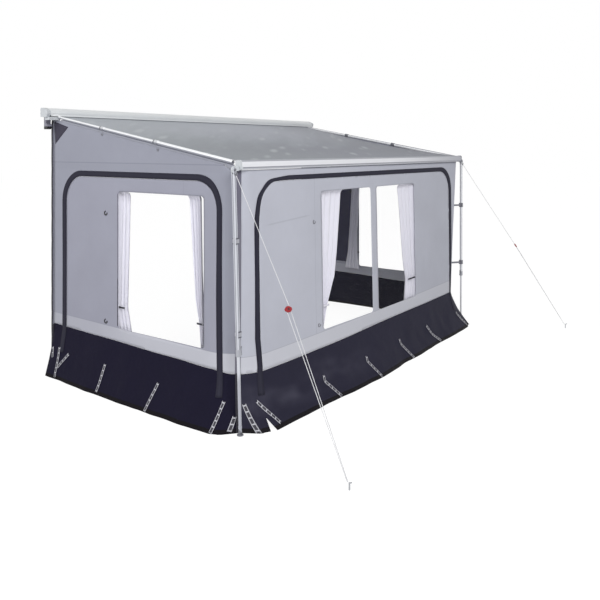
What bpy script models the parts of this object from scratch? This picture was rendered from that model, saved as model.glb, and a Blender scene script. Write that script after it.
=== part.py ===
# Roll-out caravan awning with a zip-in front room
#
# +X runs along the lead rail, -Y is the front, +Y the vehicle's side, +Z is up.
# The origin is on the ground, in the middle of the room's outline without its guy lines.

import math

import bmesh
import bpy
import numpy as np
from mathutils import Matrix, Vector
from mathutils.geometry import tessellate_polygon

# Overall sizes
SPAN = 4.21  # rafter to rafter, along the lead rail
PROJECTION = 2.50  # vehicle's side to the middle of the lead rail
RAIL_HEIGHT = 2.113  # middle of the lead rail
HOUSING_BASE = 2.555  # underside of the roof housing
SEAM_HEIGHT = 0.460  # seam between the walls and the mud skirt
FRONT_FLARE = 0.24  # how far the skirt's hem stands out, in front
SIDE_FLARE = 0.16  # and at the sides

# Fabric and running gaps
FABRIC = 0.005
FLAP = 0.003
FILM = 0.002
GAP = 0.0005
PANEL_GAP = 0.0015

# Rounded front corners: radius under the rail and at the skirt's seam
RAIL_CORNER = 0.13
SEAM_CORNER = 0.35
HEM_CORNER = 0.0  # where the two hems meet, inside the square corner
CORNER_ZIP = 0.004  # half the width left open for the corner zip
CORNER_REACH = 0.30  # columns of the fabric are squeezed together this near the corner
BULGE = 0.042  # the front wall's belly at the seam

# Walls
WALL_DROP = 0.028  # top of a side wall under the rafter's centre line
REAR_GAP = 0.040  # between a side wall's rear edge and the vehicle

# Lead rail, rafters and legs
RAIL_DEPTH = 0.056
RAIL_TALL = 0.076
RAIL_WALL = 0.003
CAP_THICK = 0.014
RAFTER_RISE = 0.012  # rafter's centre line above the rail's middle, at the front plane
RAFTER_ENDS = (0.060, PROJECTION - 0.121)  # from the front plane
RAFTER_JOINTS = (PROJECTION * 0.392, PROJECTION * 0.688)
RAFTER_SLOPE = (HOUSING_BASE - 0.004 - RAIL_HEIGHT - RAFTER_RISE) / RAFTER_ENDS[1]
RAFTER_RADII = (0.0170, 0.0150, 0.0130)  # front, middle and rear tube
RAFTER_WALL = 0.0015
COLLAR_LENGTH = 0.045
COLLAR_STEP = 0.004
RAFTER_LAP = 0.20
LEG_OUT = 0.060  # leg's pivot outside the rafter line
KNUCKLE_DROP = 0.036  # pivot under the rail's middle
KNUCKLE_RADIUS = 0.027
KNUCKLE_WIDE = 0.012
PIN_RADIUS = 0.005
PIN_PLAY = 0.0003
EAR_THICK = 0.006
LEG_WIDE = 0.030
LEG_DEEP = 0.028
LEG_WALL = 0.002
LEG_PLAY = 0.0005
GROOVE = 0.002
CLAMP_OUT = 0.003  # clamp stands this far out of the tube
LEG_SPLIT = 0.62  # lower end of the upper tube above the ground
LEG_LAP = 0.55
FOOT_RADIUS = 0.026
FOOT_PLATE = 0.008
FOOT_PIN_HEIGHT = 0.030
FOOT_SHIFT = {"left": (0.038, -0.034), "right": (0.008, 0.0)}  # foot against its pivot
CLIP_HEIGHTS = {"upper": 1.52, "lower": 0.79}

# Roof housing
HOUSING_DEPTH = 0.118
HOUSING_TALL = 0.090
HOUSING_WALL = 0.003
HOUSING_HALF = SPAN / 2 + 0.090
HOUSING_CAP = 0.040
ROLLER_RADIUS = 0.030
ROOF_SAG = 0.022
RAFTER_BLOCK = (0.0175, 0.030)  # half width and height of the rafter's seat under the housing
BACK_PAD = 0.004  # housing's back stands off the vehicle on its brackets

# Guy lines
CORD_RADIUS = 0.0025
PEG_SPOT = {"left": (0.245, -1.18), "right": (0.617, -1.13)}  # from the rail's end, outwards
RUNNER_SHARE = {"left": 0.49, "right": 0.52}
STRAND_APART = 0.036
RUNNER_TALL = 0.044
PEG_RADIUS = 0.004
EYE_FORWARD = 0.046

HALF = SPAN / 2
VEHICLE_Y = (PROJECTION + FRONT_FLARE) / 2
FRONT_Y = VEHICLE_Y - PROJECTION
SIDES = {"left": -1, "right": 1}

# Walls: every height hangs on the rail or the skirt's seam, every place along a side on the projection
FRONT_TOP = RAIL_HEIGHT - RAIL_TALL / 2 - 0.004
WINDOW_TOP = FRONT_TOP - 0.221
BAND_FOOT = SEAM_HEIGHT - 0.210
BAND_RADIUS = 0.30
SIDE_BAND = (0.148, PROJECTION - 0.180)  # outer edges, from the front plane
SIDE_BAND_LEGS = (0.072, 0.066)  # widths of the front and rear leg
SIDE_BAND_TOP = FRONT_TOP - 0.040
SIDE_BAND_CROWN = 0.054
FRONT_BAND = (0.150, SPAN - 0.245)  # outer edges, from the left corner
FRONT_BAND_LEGS = (0.078, 0.085)
FRONT_BAND_TOP = FRONT_TOP - 0.056
FRONT_BAND_CROWN = 0.048
OUTER_LEAN = (0.065, 0.025)  # how far the legs of the front flap lean to the right at the seam
INNER_LEAN = (0.043, 0.010)
CORNER_FLAT = 0.6  # how much its left corner is cut straight
SIDE_WINDOW = (0.385, PROJECTION * 0.588, SEAM_HEIGHT + 0.140, WINDOW_TOP)
SIDE_SCREEN = (PROJECTION * 0.632, PROJECTION - 0.330, SEAM_HEIGHT + 0.190, WINDOW_TOP)
FRONT_WINDOW = (1.130, 2.955, SEAM_HEIGHT + 0.125, WINDOW_TOP)
MULLION = (2.000, 2.118)
WINDOW_RADIUS = 0.03
WINDOW_LAP = 0.012

# Where the skirt is sewn on, above or below the seam's height: distance from the corner, and rise
SIDE_SEAM = ((0.0, -0.038), (0.30, -0.008), (0.80, 0.0), (PROJECTION, 0.030))
FRONT_SEAM = ((0.0, -0.040), (0.60, -0.036), (1.11, -0.029), (2.49, -0.002), (SPAN, 0.004))
# Hem stations: distance along the hem from the corner, and how far it stands out there
SIDE_HEM = ((0.10, 0.125), (0.19, 0.155), (0.50, 0.16), (1.20, 0.155), (1.70, 0.14), (2.50, 0.10))
FRONT_HEM = (
    (0.11, 0.154), (0.24, 0.21), (0.96, 0.215), (1.87, 0.24), (2.60, 0.20), (3.37, 0.165), (4.10, 0.15),
)
FLARE_CURVE = 1.35
HEM_TIP = (0.075, 0.105)  # right end of the front hem, outside the square corner


# Clearing the scene
for old in list(bpy.data.objects):
    bpy.data.objects.remove(old, do_unlink=True)


# Materials
def make_material(name, colour, roughness, metallic=0.0, alpha=1.0):
    material = bpy.data.materials.new(name)
    material.use_nodes = True
    shader = material.node_tree.nodes["Principled BSDF"]
    shader.inputs["Base Color"].default_value = (*colour, 1.0)
    shader.inputs["Roughness"].default_value = roughness
    shader.inputs["Metallic"].default_value = metallic
    shader.inputs["Alpha"].default_value = alpha
    return material


WHITE_ALUMINIUM = make_material("white_aluminium", (0.72, 0.74, 0.76), 0.35, 0.2)
SILVER = make_material("anodised_aluminium", (0.60, 0.61, 0.64), 0.32, 0.9)
GREY_PLASTIC = make_material("grey_plastic", (0.30, 0.30, 0.32), 0.5)
PALE_PLASTIC = make_material("pale_plastic", (0.66, 0.67, 0.70), 0.45)
WALL_FABRIC = make_material("wall_fabric", (0.40, 0.42, 0.48), 0.85)
SKIRT_FABRIC = make_material("skirt_fabric", (0.025, 0.023, 0.034), 0.75)
BAND_FABRIC = make_material("band_fabric", (0.045, 0.047, 0.065), 0.7)
ROOF_FABRIC = make_material("roof_fabric", (0.27, 0.28, 0.30), 0.7)
WINDOW_FILM = make_material("window_film", (0.9, 0.92, 0.95), 0.1, alpha=0.2)
CURTAIN_CLOTH = make_material("curtain_cloth", (0.72, 0.74, 0.80), 0.9)
CORD_WHITE = make_material("cord_white", (0.8, 0.8, 0.8), 0.8)
RUNNER_RED = make_material("runner_red", (0.45, 0.02, 0.02), 0.4)
PEG_STEEL = make_material("peg_steel", (0.5, 0.5, 0.52), 0.35, 0.9)


# Building helpers
def add_object(name, mesh, material, matrix=None, parent=None, smooth=True):
    """A finished piece. Its matrix is in the parent's frame."""
    obj = bpy.data.objects.new(name, mesh)
    bpy.context.scene.collection.objects.link(obj)
    mesh.materials.append(material)
    if smooth:
        mesh.shade_smooth()
        mesh.set_sharp_from_angle(angle=math.radians(35))
    obj.parent = parent
    obj.matrix_basis = matrix or Matrix()
    return obj


def add_axis(name, matrix, parent=None):
    """An empty on a joint's axis, which carries what moves with it."""
    empty = bpy.data.objects.new(name, None)
    empty.empty_display_size = 0.1
    bpy.context.scene.collection.objects.link(empty)
    empty.parent = parent
    empty.matrix_basis = matrix
    return empty


def mesh_from(name, points, faces):
    build = bmesh.new()
    verts = [build.verts.new(point) for point in points]
    for face in faces:
        build.faces.new([verts[index] for index in face])
    bmesh.ops.recalc_face_normals(build, faces=build.faces)
    mesh = bpy.data.meshes.new(name)
    build.to_mesh(mesh)
    build.free()
    return mesh


def hide_cutter(obj):
    obj.hide_render = True
    obj.display_type = "WIRE"
    return obj


def combine(obj, other, operation):
    """A live EXACT Boolean of obj with a hidden helper."""
    modifier = obj.modifiers.new(operation.lower(), "BOOLEAN")
    modifier.operation = operation
    modifier.solver = "EXACT"
    modifier.object = hide_cutter(other)
    return obj


def cut(obj, other):
    return combine(obj, other, "DIFFERENCE")


def fuse(obj, other):
    return combine(obj, other, "UNION")


def place(x=0.0, y=0.0, z=0.0):
    return Matrix.Translation((x, y, z))


def extrude_outline(name, outer, holes, start, end, to_point):
    """Closed solid of an outline with holes, run from start to end along the third direction.

    to_point(u, v, w) turns a place in the outline (u, v) and along the run (w) into X, Y, Z."""
    loops = [outer, *holes]
    flat = [pair for loop in loops for pair in loop]
    count = len(flat)
    points = [to_point(u, v, w) for w in (start, end) for u, v in flat]
    triangles = tessellate_polygon([[Vector((u, v, 0.0)) for u, v in loop] for loop in loops])
    faces = [tuple(triangle) for triangle in triangles]
    faces += [tuple(index + count for index in reversed(triangle)) for triangle in triangles]
    first = 0
    for loop in loops:
        size = len(loop)
        for index in range(size):
            after = first + (index + 1) % size
            faces.append((first + index, after, after + count, first + index + count))
        first += size
    return mesh_from(name, points, faces)


def along_x(u, v, w):
    return (w, u, v)


def along_y(u, v, w):
    return (u, w, v)


def along_z(u, v, w):
    return (u, v, w)


def arc(centre, radius, start, end, steps):
    """Points on an arc, angles in degrees, both ends included."""
    angles = [math.radians(start + (end - start) * step / steps) for step in range(steps + 1)]
    return [(centre[0] + radius * math.cos(a), centre[1] + radius * math.sin(a)) for a in angles]


def rounded_box(wide, tall, radius, steps=3, centre=(0.0, 0.0)):
    points = []
    for index, (side, up) in enumerate(((1, 1), (-1, 1), (-1, -1), (1, -1))):
        middle = (centre[0] + side * (wide / 2 - radius), centre[1] + up * (tall / 2 - radius))
        points += arc(middle, radius, 90 * index, 90 * index + 90, steps)
    return points


def circle(radius, steps, centre=(0.0, 0.0)):
    return arc(centre, radius, 0, 360, steps)[:-1]


def tube_mesh(name, radius, bore, start, end, steps=20):
    """A round tube or, with no bore, a rod, along Z."""
    holes = [circle(bore, steps)] if bore else []
    return extrude_outline(name, circle(radius, steps), holes, start, end, along_z)


def slab_mesh(name, grid, thickness, lift=0.0, level=True):
    """A sheet with a thickness. Seen from outside, columns run to the right and rows upwards.

    Its outer face stands lift outside the grid. Points move level, or straight up on a roof."""
    grid = np.asarray(grid, float)
    rows, columns, _ = grid.shape
    outward = np.cross(np.gradient(grid, axis=1), np.gradient(grid, axis=0))
    if level:
        outward[:, :, 2] = 0.0
    else:
        outward[:, :, :2] = 0.0
    outward /= np.linalg.norm(outward, axis=2, keepdims=True)
    outer = grid + outward * lift
    inner = grid + outward * (lift - thickness)
    points = [tuple(p) for p in outer.reshape(-1, 3)] + [tuple(p) for p in inner.reshape(-1, 3)]
    half = rows * columns
    faces = []
    for row in range(rows - 1):
        for column in range(columns - 1):
            a = row * columns + column
            b, c, d = a + 1, a + columns + 1, a + columns
            faces += [(a, b, c), (a, c, d)]
            faces += [(c + half, b + half, a + half), (d + half, c + half, a + half)]
    rim = [column for column in range(columns)]
    rim += [row * columns + columns - 1 for row in range(1, rows)]
    rim += [(rows - 1) * columns + column for column in range(columns - 2, -1, -1)]
    rim += [row * columns for row in range(rows - 2, 0, -1)]
    for index, here in enumerate(rim):
        after = rim[(index + 1) % len(rim)]
        faces.append((after, here, here + half, after + half))
    return mesh_from(name, points, faces)


# The shape that the walls and the skirt share
def smooth_between(stations, at):
    """Value at a place between stations, eased so that it has no kinks."""
    for (low, first), (high, second) in zip(stations, stations[1:]):
        if at <= high:
            share = max(0.0, (at - low) / (high - low))
            ease = share * share * (3 - 2 * share)
            return first + (second - first) * ease
    return stations[-1][1]


def side_seam(distance):
    return SEAM_HEIGHT + smooth_between(SIDE_SEAM, distance)


def front_seam(station):
    return SEAM_HEIGHT + smooth_between(FRONT_SEAM, station)


def corner_radius(z):
    share = (z - SEAM_HEIGHT) / (FRONT_TOP - SEAM_HEIGHT)
    share = min(1.0, max(0.0, share))
    return SEAM_CORNER + (RAIL_CORNER - SEAM_CORNER) * share


def corner_inset(distance, z):
    """How far the rounded corner draws the fabric in, at a distance from the square corner."""
    radius = corner_radius(z)
    if distance >= radius:
        return 0.0
    return radius - math.sqrt(radius**2 - (radius - distance) ** 2)


def flare_share(z):
    return max(0.0, (SEAM_HEIGHT - z) / SEAM_HEIGHT) ** FLARE_CURVE


def corner_start(z):
    """Where the side and front fabric would meet, in from the square corner, each way."""
    return corner_radius(z) * (1 - math.sqrt(0.5))


def spaced_out(station, start):
    """Distance from the square corner of a column, squeezed past the rounded corner."""
    if station >= CORNER_REACH:
        return station
    return start + (CORNER_REACH - start) * station / CORNER_REACH


def wall_place(station, z):
    """(inset, distance) of the wall's outer face, above the seam."""
    distance = spaced_out(station, corner_start(z) + CORNER_ZIP)
    return corner_inset(distance, z), distance


def hem_place(station, flare, tip=False):
    """(inset, distance) of the hem. With a tip, its end is drawn out past the square corner."""
    start = HEM_CORNER + CORNER_ZIP
    distance = spaced_out(station, start)
    ease = min(1.0, (distance - start) / 0.10)
    inset = HEM_CORNER - (flare + HEM_CORNER) * ease
    if tip:
        pull = max(0.0, 1 - station / CORNER_REACH) ** 1.5
        inset += (-HEM_TIP[1] - inset) * pull
        distance += (-HEM_TIP[0] - distance) * pull
    return inset, distance


def below_seam(seam_place, hem, z):
    share = max(0.0, (SEAM_HEIGHT - z) / SEAM_HEIGHT) ** FLARE_CURVE
    inset = seam_place[0] + (hem[0] - seam_place[0]) * share
    return inset, seam_place[1] + (hem[1] - seam_place[1]) * share


def side_point(side, station, z):
    """Outer face of a side wall or skirt. Stations count from the front corner."""
    inset, distance = wall_place(station, max(z, SEAM_HEIGHT))
    if z < SEAM_HEIGHT:
        hem = hem_place(station, smooth_between(SIDE_HEM, station))
        inset, distance = below_seam((inset, distance), hem, z)
    return (SIDES[side] * (HALF - inset), FRONT_Y + distance, z)


def front_point(station, z):
    """Outer face of the front wall or skirt. Stations count from the left corner."""
    near = min(station, SPAN - station)
    height = max(z, SEAM_HEIGHT)
    inset, distance = wall_place(near, height)
    rise = (height - SEAM_HEIGHT) / (FRONT_TOP - SEAM_HEIGHT)
    edge = corner_start(height) + CORNER_ZIP
    across = (HALF - distance) / (HALF - edge)
    inset -= BULGE * max(0.0, 1 - across**2) * (1 - rise)
    if z < SEAM_HEIGHT:
        hem = hem_place(near, smooth_between(FRONT_HEM, station), station > HALF)
        inset, distance = below_seam((inset, distance), hem, z)
    if station > HALF:
        distance = SPAN - distance
    return (distance - HALF, FRONT_Y + inset, z)


def rafter_height(distance):
    return RAIL_HEIGHT + RAFTER_RISE + RAFTER_SLOPE * distance


def side_top(distance):
    """Top edge of a side wall: under the rafter, and stepped down under the rail's end."""
    under_rail = RAIL_CORNER + 0.02
    line = min(rafter_height(distance) - WALL_DROP, HOUSING_BASE - RAFTER_BLOCK[1] - 2 * GAP)
    if distance >= under_rail:
        return line
    edge = rafter_height(under_rail) - WALL_DROP
    return FRONT_TOP + (edge - FRONT_TOP) * (distance / under_rail) ** 2


def spread(low, high, step):
    """Evenly spaced values from low to high, no further apart than step."""
    count = max(1, math.ceil((high - low) / step - 1e-9))
    return [low + (high - low) * index / count for index in range(count + 1)]


REAR_EDGE = PROJECTION - REAR_GAP
CORNER_STEPS = [0.0, 0.05, 0.10, 0.15, 0.20, 0.25, CORNER_REACH]
SIDE_STATIONS = CORNER_STEPS + spread(CORNER_STEPS[-1], REAR_EDGE, 0.27)[1:]
FRONT_MIDDLE = spread(CORNER_STEPS[-1], SPAN - CORNER_STEPS[-1], 0.40)
FRONT_STATIONS = CORNER_STEPS[:-1] + FRONT_MIDDLE + [SPAN - step for step in CORNER_STEPS[-2::-1]]


def side_grid(side, stations, heights):
    """Grid of a side wall, its columns running to the right as seen from outside."""
    order = stations[::-1] if side == "left" else stations
    return [[side_point(side, distance, height(distance)) for distance in order] for height in heights]


def ladder_of_heights(bottom, top, rows):
    """Height functions from a bottom edge to a top edge, either of which may slope."""
    shares = [row / rows for row in range(rows + 1)]
    return [lambda d, s=share: bottom(d) + (top(d) - bottom(d)) * s for share in shares]


def arch(low, high, foot, top, radius, lean=(0.0, 0.0), flat=0.0, steps=6):
    """Outline of an upright panel with rounded top corners.

    Its legs lean to the right towards the seam by lean, and flat cuts its low corner straight."""
    points = [(low + lean[0], foot), (high + lean[1], foot), (high + lean[1], SEAM_HEIGHT)]
    points += arc((high - radius, top - radius), radius, 0, 90, steps)
    corner = arc((low + radius, top - radius), radius, 90, 180, steps)
    for step, (x, z) in enumerate(corner):
        share = step / steps
        chord = (low + radius * (1 - share), top - radius * share)
        points.append((x + (chord[0] - x) * flat, z + (chord[1] - z) * flat))
    return points + [(low + lean[0], SEAM_HEIGHT)]


def band_outline(outer, inner):
    """Outline of the zip flap, an upside-down U between two arches."""
    return [*outer[1:], outer[0], inner[0], *inner[:0:-1]]


def inner_arch(band, legs, crown, foot, top, lean=(0.0, 0.0), flat=0.0, shy=0.0):
    """The arch inside a zip flap; the panel's own outline is a little smaller, by shy."""
    low, high = band[0] + legs[0] + shy, band[1] - legs[1] - shy
    return arch(low, high, foot, top - crown - shy, BAND_RADIUS - crown - shy, lean, flat)


def side_cutter(name, outline):
    """A prism through a side wall; the outline's first value is the distance from the front plane."""
    reach = HALF + 1.0
    mesh = extrude_outline(name, outline, [], HALF - 1.0, reach, lambda u, v, w: (w, FRONT_Y + u, v))
    return mesh


def side_prism(name, side, outline):
    mesh = side_cutter(name, outline)
    if side == "left":
        mesh.transform(Matrix.Scale(-1, 4, (1, 0, 0)))
        mesh.flip_normals()
    return add_object(name, mesh, SKIRT_FABRIC, smooth=False)


def front_prism(name, outline):
    mesh = extrude_outline(name, outline, [], FRONT_Y - 0.5, FRONT_Y + 0.5, lambda u, v, w: (u - HALF, w, v))
    return add_object(name, mesh, SKIRT_FABRIC, smooth=False)


def window_outline(low, high, foot, top, grow=0.0):
    middle = ((low + high) / 2, (foot + top) / 2)
    return rounded_box(high - low + 2 * grow, top - foot + 2 * grow, WINDOW_RADIUS + grow, 3, middle)


# Rows of the fabric: every sheet of a wall is cut from the same grid, so that they lie face to face
SIDE_SKIRT_ROWS = ladder_of_heights(lambda d: 0.0, lambda d: side_seam(d) - GAP, 5)
FRONT_SKIRT_ROWS = ladder_of_heights(lambda d: 0.0, lambda d: front_seam(d) - GAP, 5)
SIDE_ROWS = ladder_of_heights(lambda d: side_seam(d) + GAP, side_top, 5)
FRONT_ROWS = ladder_of_heights(lambda d: front_seam(d) + GAP, lambda d: FRONT_TOP, 5)


def side_sheet(name, side, rows, thickness, material, lift=0.0):
    mesh = slab_mesh(name, side_grid(side, SIDE_STATIONS, rows), thickness, lift)
    return add_object(name, mesh, material)


def front_sheet(name, rows, thickness, material, lift=0.0):
    mesh = slab_mesh(name, front_grid(FRONT_STATIONS, rows), thickness, lift)
    return add_object(name, mesh, material)


# Side walls, their zipped panels, windows and flaps
def build_side(side):
    wall = side_sheet(f"{side}_side_wall", side, SIDE_ROWS, FABRIC, WALL_FABRIC)
    inner = (SIDE_BAND, SIDE_BAND_LEGS, SIDE_BAND_CROWN)
    cut(wall, side_prism(f"{side}_doorway", side, inner_arch(*inner, -1.0, SIDE_BAND_TOP)))

    panel = side_sheet(f"{side}_panel", side, SIDE_ROWS, FABRIC, WALL_FABRIC)
    outline = inner_arch(*inner, -1.0, SIDE_BAND_TOP, shy=PANEL_GAP)
    combine(panel, side_prism(f"{side}_panel_outline", side, outline), "INTERSECT")
    windows = {"window_pane": SIDE_WINDOW}
    if side == "right":
        windows["fly_screen"] = SIDE_SCREEN
    pieces = [panel]
    for name, window in windows.items():
        cut(panel, side_prism(f"{side}_{name}_hole", side, window_outline(*window)))
        material = WINDOW_FILM if name == "window_pane" else BAND_FABRIC
        pane = side_sheet(f"{side}_{name}", side, SIDE_ROWS, FILM, material, -FABRIC - GAP)
        outline = window_outline(*window, WINDOW_LAP)
        combine(pane, side_prism(f"{side}_{name}_outline", side, outline), "INTERSECT")
        pieces.append(pane)

    rows = SIDE_SKIRT_ROWS[2:] + SIDE_ROWS
    band = side_sheet(f"{side}_zip_flap", side, rows, FLAP, BAND_FABRIC, FLAP + GAP)
    outer = arch(*SIDE_BAND, BAND_FOOT, SIDE_BAND_TOP, BAND_RADIUS)
    outline = band_outline(outer, inner_arch(*inner, BAND_FOOT, SIDE_BAND_TOP))
    combine(band, side_prism(f"{side}_flap_outline", side, outline), "INTERSECT")
    return pieces


# The front wall, its zipped panel, windows and flap
def front_grid(stations, heights):
    return [[front_point(station, height(station)) for station in stations] for height in heights]


def build_front():
    wall = front_sheet("front_wall", FRONT_ROWS, FABRIC, WALL_FABRIC)
    inner = (FRONT_BAND, FRONT_BAND_LEGS, FRONT_BAND_CROWN)
    bend = (INNER_LEAN, CORNER_FLAT)
    cut(wall, front_prism("front_doorway", inner_arch(*inner, -1.0, FRONT_BAND_TOP, *bend)))

    panel = front_sheet("front_panel", FRONT_ROWS, FABRIC, WALL_FABRIC)
    outline = inner_arch(*inner, -1.0, FRONT_BAND_TOP, *bend, PANEL_GAP)
    combine(panel, front_prism("front_panel_outline", outline), "INTERSECT")
    left, right, foot, top = FRONT_WINDOW
    for index, (start, end) in enumerate(((left, MULLION[0]), (MULLION[1], right))):
        cut(panel, front_prism(f"front_window_hole_{index}", window_outline(start, end, foot, top)))
    pane = front_sheet("front_window_pane", FRONT_ROWS, FILM, WINDOW_FILM, -FABRIC - 2 * GAP)
    outline = window_outline(left, right, foot, top, WINDOW_LAP)
    combine(pane, front_prism("front_pane_outline", outline), "INTERSECT")

    band = front_sheet("front_zip_flap", FRONT_SKIRT_ROWS[2:] + FRONT_ROWS, FLAP, BAND_FABRIC, FLAP + GAP)
    outer = arch(*FRONT_BAND, BAND_FOOT, FRONT_BAND_TOP, BAND_RADIUS, OUTER_LEAN, CORNER_FLAT)
    outline = band_outline(outer, inner_arch(*inner, BAND_FOOT, FRONT_BAND_TOP, *bend))
    combine(band, front_prism("front_flap_outline", outline), "INTERSECT")
    return [panel, pane]


# Mud skirts
def build_skirts():
    for side in SIDES:
        side_sheet(f"{side}_skirt", side, SIDE_SKIRT_ROWS, FABRIC, SKIRT_FABRIC)
    front_sheet("front_skirt", FRONT_SKIRT_ROWS, FABRIC, SKIRT_FABRIC)


# Padded strips that seal the side walls against the vehicle
PAD_DEEP = 0.034
PAD_WIDE = 0.026
PAD_FOOT = 0.12


def build_rear_pad(side):
    outline = rounded_box(PAD_WIDE, PAD_DEEP, 0.010, 3)
    top = HOUSING_BASE - 0.004
    mesh = extrude_outline(f"{side}_rear_pad", outline, [], PAD_FOOT, top, along_z)
    x = SIDES[side] * (HALF - FABRIC / 2)
    add_object(f"{side}_rear_pad", mesh, BAND_FABRIC, place(x, VEHICLE_Y - PAD_DEEP / 2 - GAP))


# Curtains: hanging cloth with its main folds, gathered by a tie
CURTAIN_THICK = 0.0025
CURTAIN_OFF = 0.052  # middle of the folds behind the panel's outer face
CURTAIN_TOP = WINDOW_TOP + 0.025
CURTAIN_FOOT = SEAM_HEIGHT + 0.100
TIE_HEIGHT = SEAM_HEIGHT + 0.330
CURTAIN_ROWS = (0.42, 0.58, 0.80)  # rows above the tie, as shares of the way down from the top


def curtain_grid(surface, outside_left, top_edges, tie_edges, foot_edges, folds):
    """Points of a curtain on a wall given by surface(distance, z)."""
    stations = ((CURTAIN_FOOT, foot_edges), (TIE_HEIGHT, tie_edges), (CURTAIN_TOP, top_edges))
    lows = [(z, edges[0]) for z, edges in stations]
    highs = [(z, edges[1]) for z, edges in stations]
    above = [CURTAIN_TOP + (TIE_HEIGHT - CURTAIN_TOP) * share for share in reversed(CURTAIN_ROWS)]
    heights = [CURTAIN_FOOT, (CURTAIN_FOOT + TIE_HEIGHT) / 2, TIE_HEIGHT, *above, CURTAIN_TOP]
    columns = folds * 6
    widest = max(edges[1] - edges[0] for _, edges in stations)
    grid = []
    for z in heights:
        low, high = smooth_between(lows, z), smooth_between(highs, z)
        pinch = (high - low) / widest
        depth = 0.012 + 0.012 * (1 - pinch)
        row = []
        for column in range(columns + 1):
            share = column / columns
            along = low + (high - low) * share
            point = np.array(surface(along, z))
            ahead = np.array(surface(along + 0.01, z))
            tangent = (ahead - point) / np.linalg.norm(ahead - point)
            inward = np.array((-tangent[1], tangent[0], 0.0)) * outside_left
            wave = math.sin(2 * math.pi * folds * share)
            row.append(point + inward * (CURTAIN_OFF + depth * wave))
        grid.append(row)
    grid = np.array(grid)
    return grid


def build_curtain(name, surface, turn, edges):
    grid = curtain_grid(surface, turn, *edges)
    if turn < 0:
        grid = grid[:, ::-1]
    return add_object(name, slab_mesh(name, grid, CURTAIN_THICK), CURTAIN_CLOTH)


# Edges at the top, the tie and the foot, from the window's nearest edge, and the number of folds
SIDE_REAR_CURTAIN = ((-0.110, 0.090), (-0.075, 0.060), (-0.120, 0.040), 3)
SIDE_FRONT_CURTAIN = ((0.015, 0.220), (0.010, 0.110), (0.010, 0.090), 3)
FRONT_LEFT_CURTAIN = ((-0.050, 0.330), (-0.030, 0.125), (-0.040, 0.080), 4)
FRONT_RIGHT_CURTAIN = ((-0.440, -0.020), (-0.260, -0.060), (-0.300, -0.020), 5)
SCREEN_CURTAIN = ((-0.100, 0.080), (-0.140, 0.040), (-0.190, 0.060), 4)


def edges_from(edge, curtain):
    """A curtain's edges as places on the wall."""
    *edges, folds = curtain
    return [(edge + low, edge + high) for low, high in edges] + [folds]


def build_curtains(side):
    rear = SIDE_REAR_CURTAIN if side == "left" else SCREEN_CURTAIN
    turn = SIDES[side]

    def surface(distance, z):
        return side_point(side, distance, z)

    return [
        build_curtain(f"{side}_rear_curtain", surface, turn, edges_from(SIDE_WINDOW[1], rear)),
        build_curtain(f"{side}_front_curtain", surface, turn, edges_from(SIDE_WINDOW[0], SIDE_FRONT_CURTAIN)),
    ]


# Roof housing, roller and roof sheet
def shell_outline(path, thick):
    """Closed outline of a sheet bent along a path, thick to the left of it."""
    points = [Vector(point) for point in path]
    inner = []
    for index, point in enumerate(points):
        before = points[max(0, index - 1)]
        after = points[min(len(points) - 1, index + 1)]
        run = (after - before).normalized()
        inner.append(point + Vector((-run.y, run.x)) * thick)
    return [tuple(point) for point in points] + [tuple(point) for point in reversed(inner)]


def housing_path():
    """Section of the housing, from its front lip over the top and round to its rear floor."""
    front = VEHICLE_Y - BACK_PAD - HOUSING_DEPTH
    back = VEHICLE_Y - BACK_PAD
    base = HOUSING_BASE
    top = HOUSING_BASE + HOUSING_TALL
    nose = arc((front + 0.030, base + 0.040), 0.030, 205, 110, 6)
    crown = arc((back - 0.034, top - 0.022), 0.022, 100, 90, 1)
    rear = arc((back - 0.012, top - 0.012), 0.012, 90, 0, 3)
    floor = arc((back - 0.010, base + 0.010), 0.010, 0, -90, 3)
    return [(front + 0.007, base + 0.018), *nose, *crown, *rear, *floor, (back - 0.050, base)]


def build_housing():
    outline = shell_outline(housing_path(), -HOUSING_WALL)
    mesh = extrude_outline("roof_housing", outline, [], -HOUSING_HALF, HOUSING_HALF, along_x)
    add_object("roof_housing", mesh, WHITE_ALUMINIUM)
    centre = (VEHICLE_Y - BACK_PAD - 0.045, HOUSING_BASE + 0.043)
    mesh = extrude_outline(
        "roof_roller", circle(ROLLER_RADIUS, 20, centre), [], -HOUSING_HALF + 0.004, HOUSING_HALF - 0.004, along_x
    )
    add_object("roof_roller", mesh, ROOF_FABRIC)


def build_housing_cap(side):
    """End cap with the block that the rafter springs from."""
    sign = SIDES[side]
    path = housing_path()
    front = VEHICLE_Y - BACK_PAD - HOUSING_DEPTH
    outline = [*path[:-1], (front + 0.030, HOUSING_BASE - 0.006)]
    start = HOUSING_HALF + GAP
    reach = (start, start + HOUSING_CAP)
    mesh = extrude_outline(f"{side}_housing_cap", outline, [], *reach, lambda u, v, w: (sign * w, u, v))
    cap = add_object(f"{side}_housing_cap", mesh, PALE_PLASTIC)
    half_wide, tall = RAFTER_BLOCK
    top = HOUSING_BASE - GAP
    seat = (front + 0.004, front + 0.075)
    block = [(seat[0], top - tall), (seat[1], top - tall), (seat[1], top), (seat[0], top)]
    inner = HALF - half_wide
    mesh = extrude_outline(f"{side}_rafter_seat", block, [], inner, start + 0.020, lambda u, v, w: (sign * w, u, v))
    fuse(cap, add_object(f"{side}_rafter_seat", mesh, PALE_PLASTIC, smooth=False))


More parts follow.
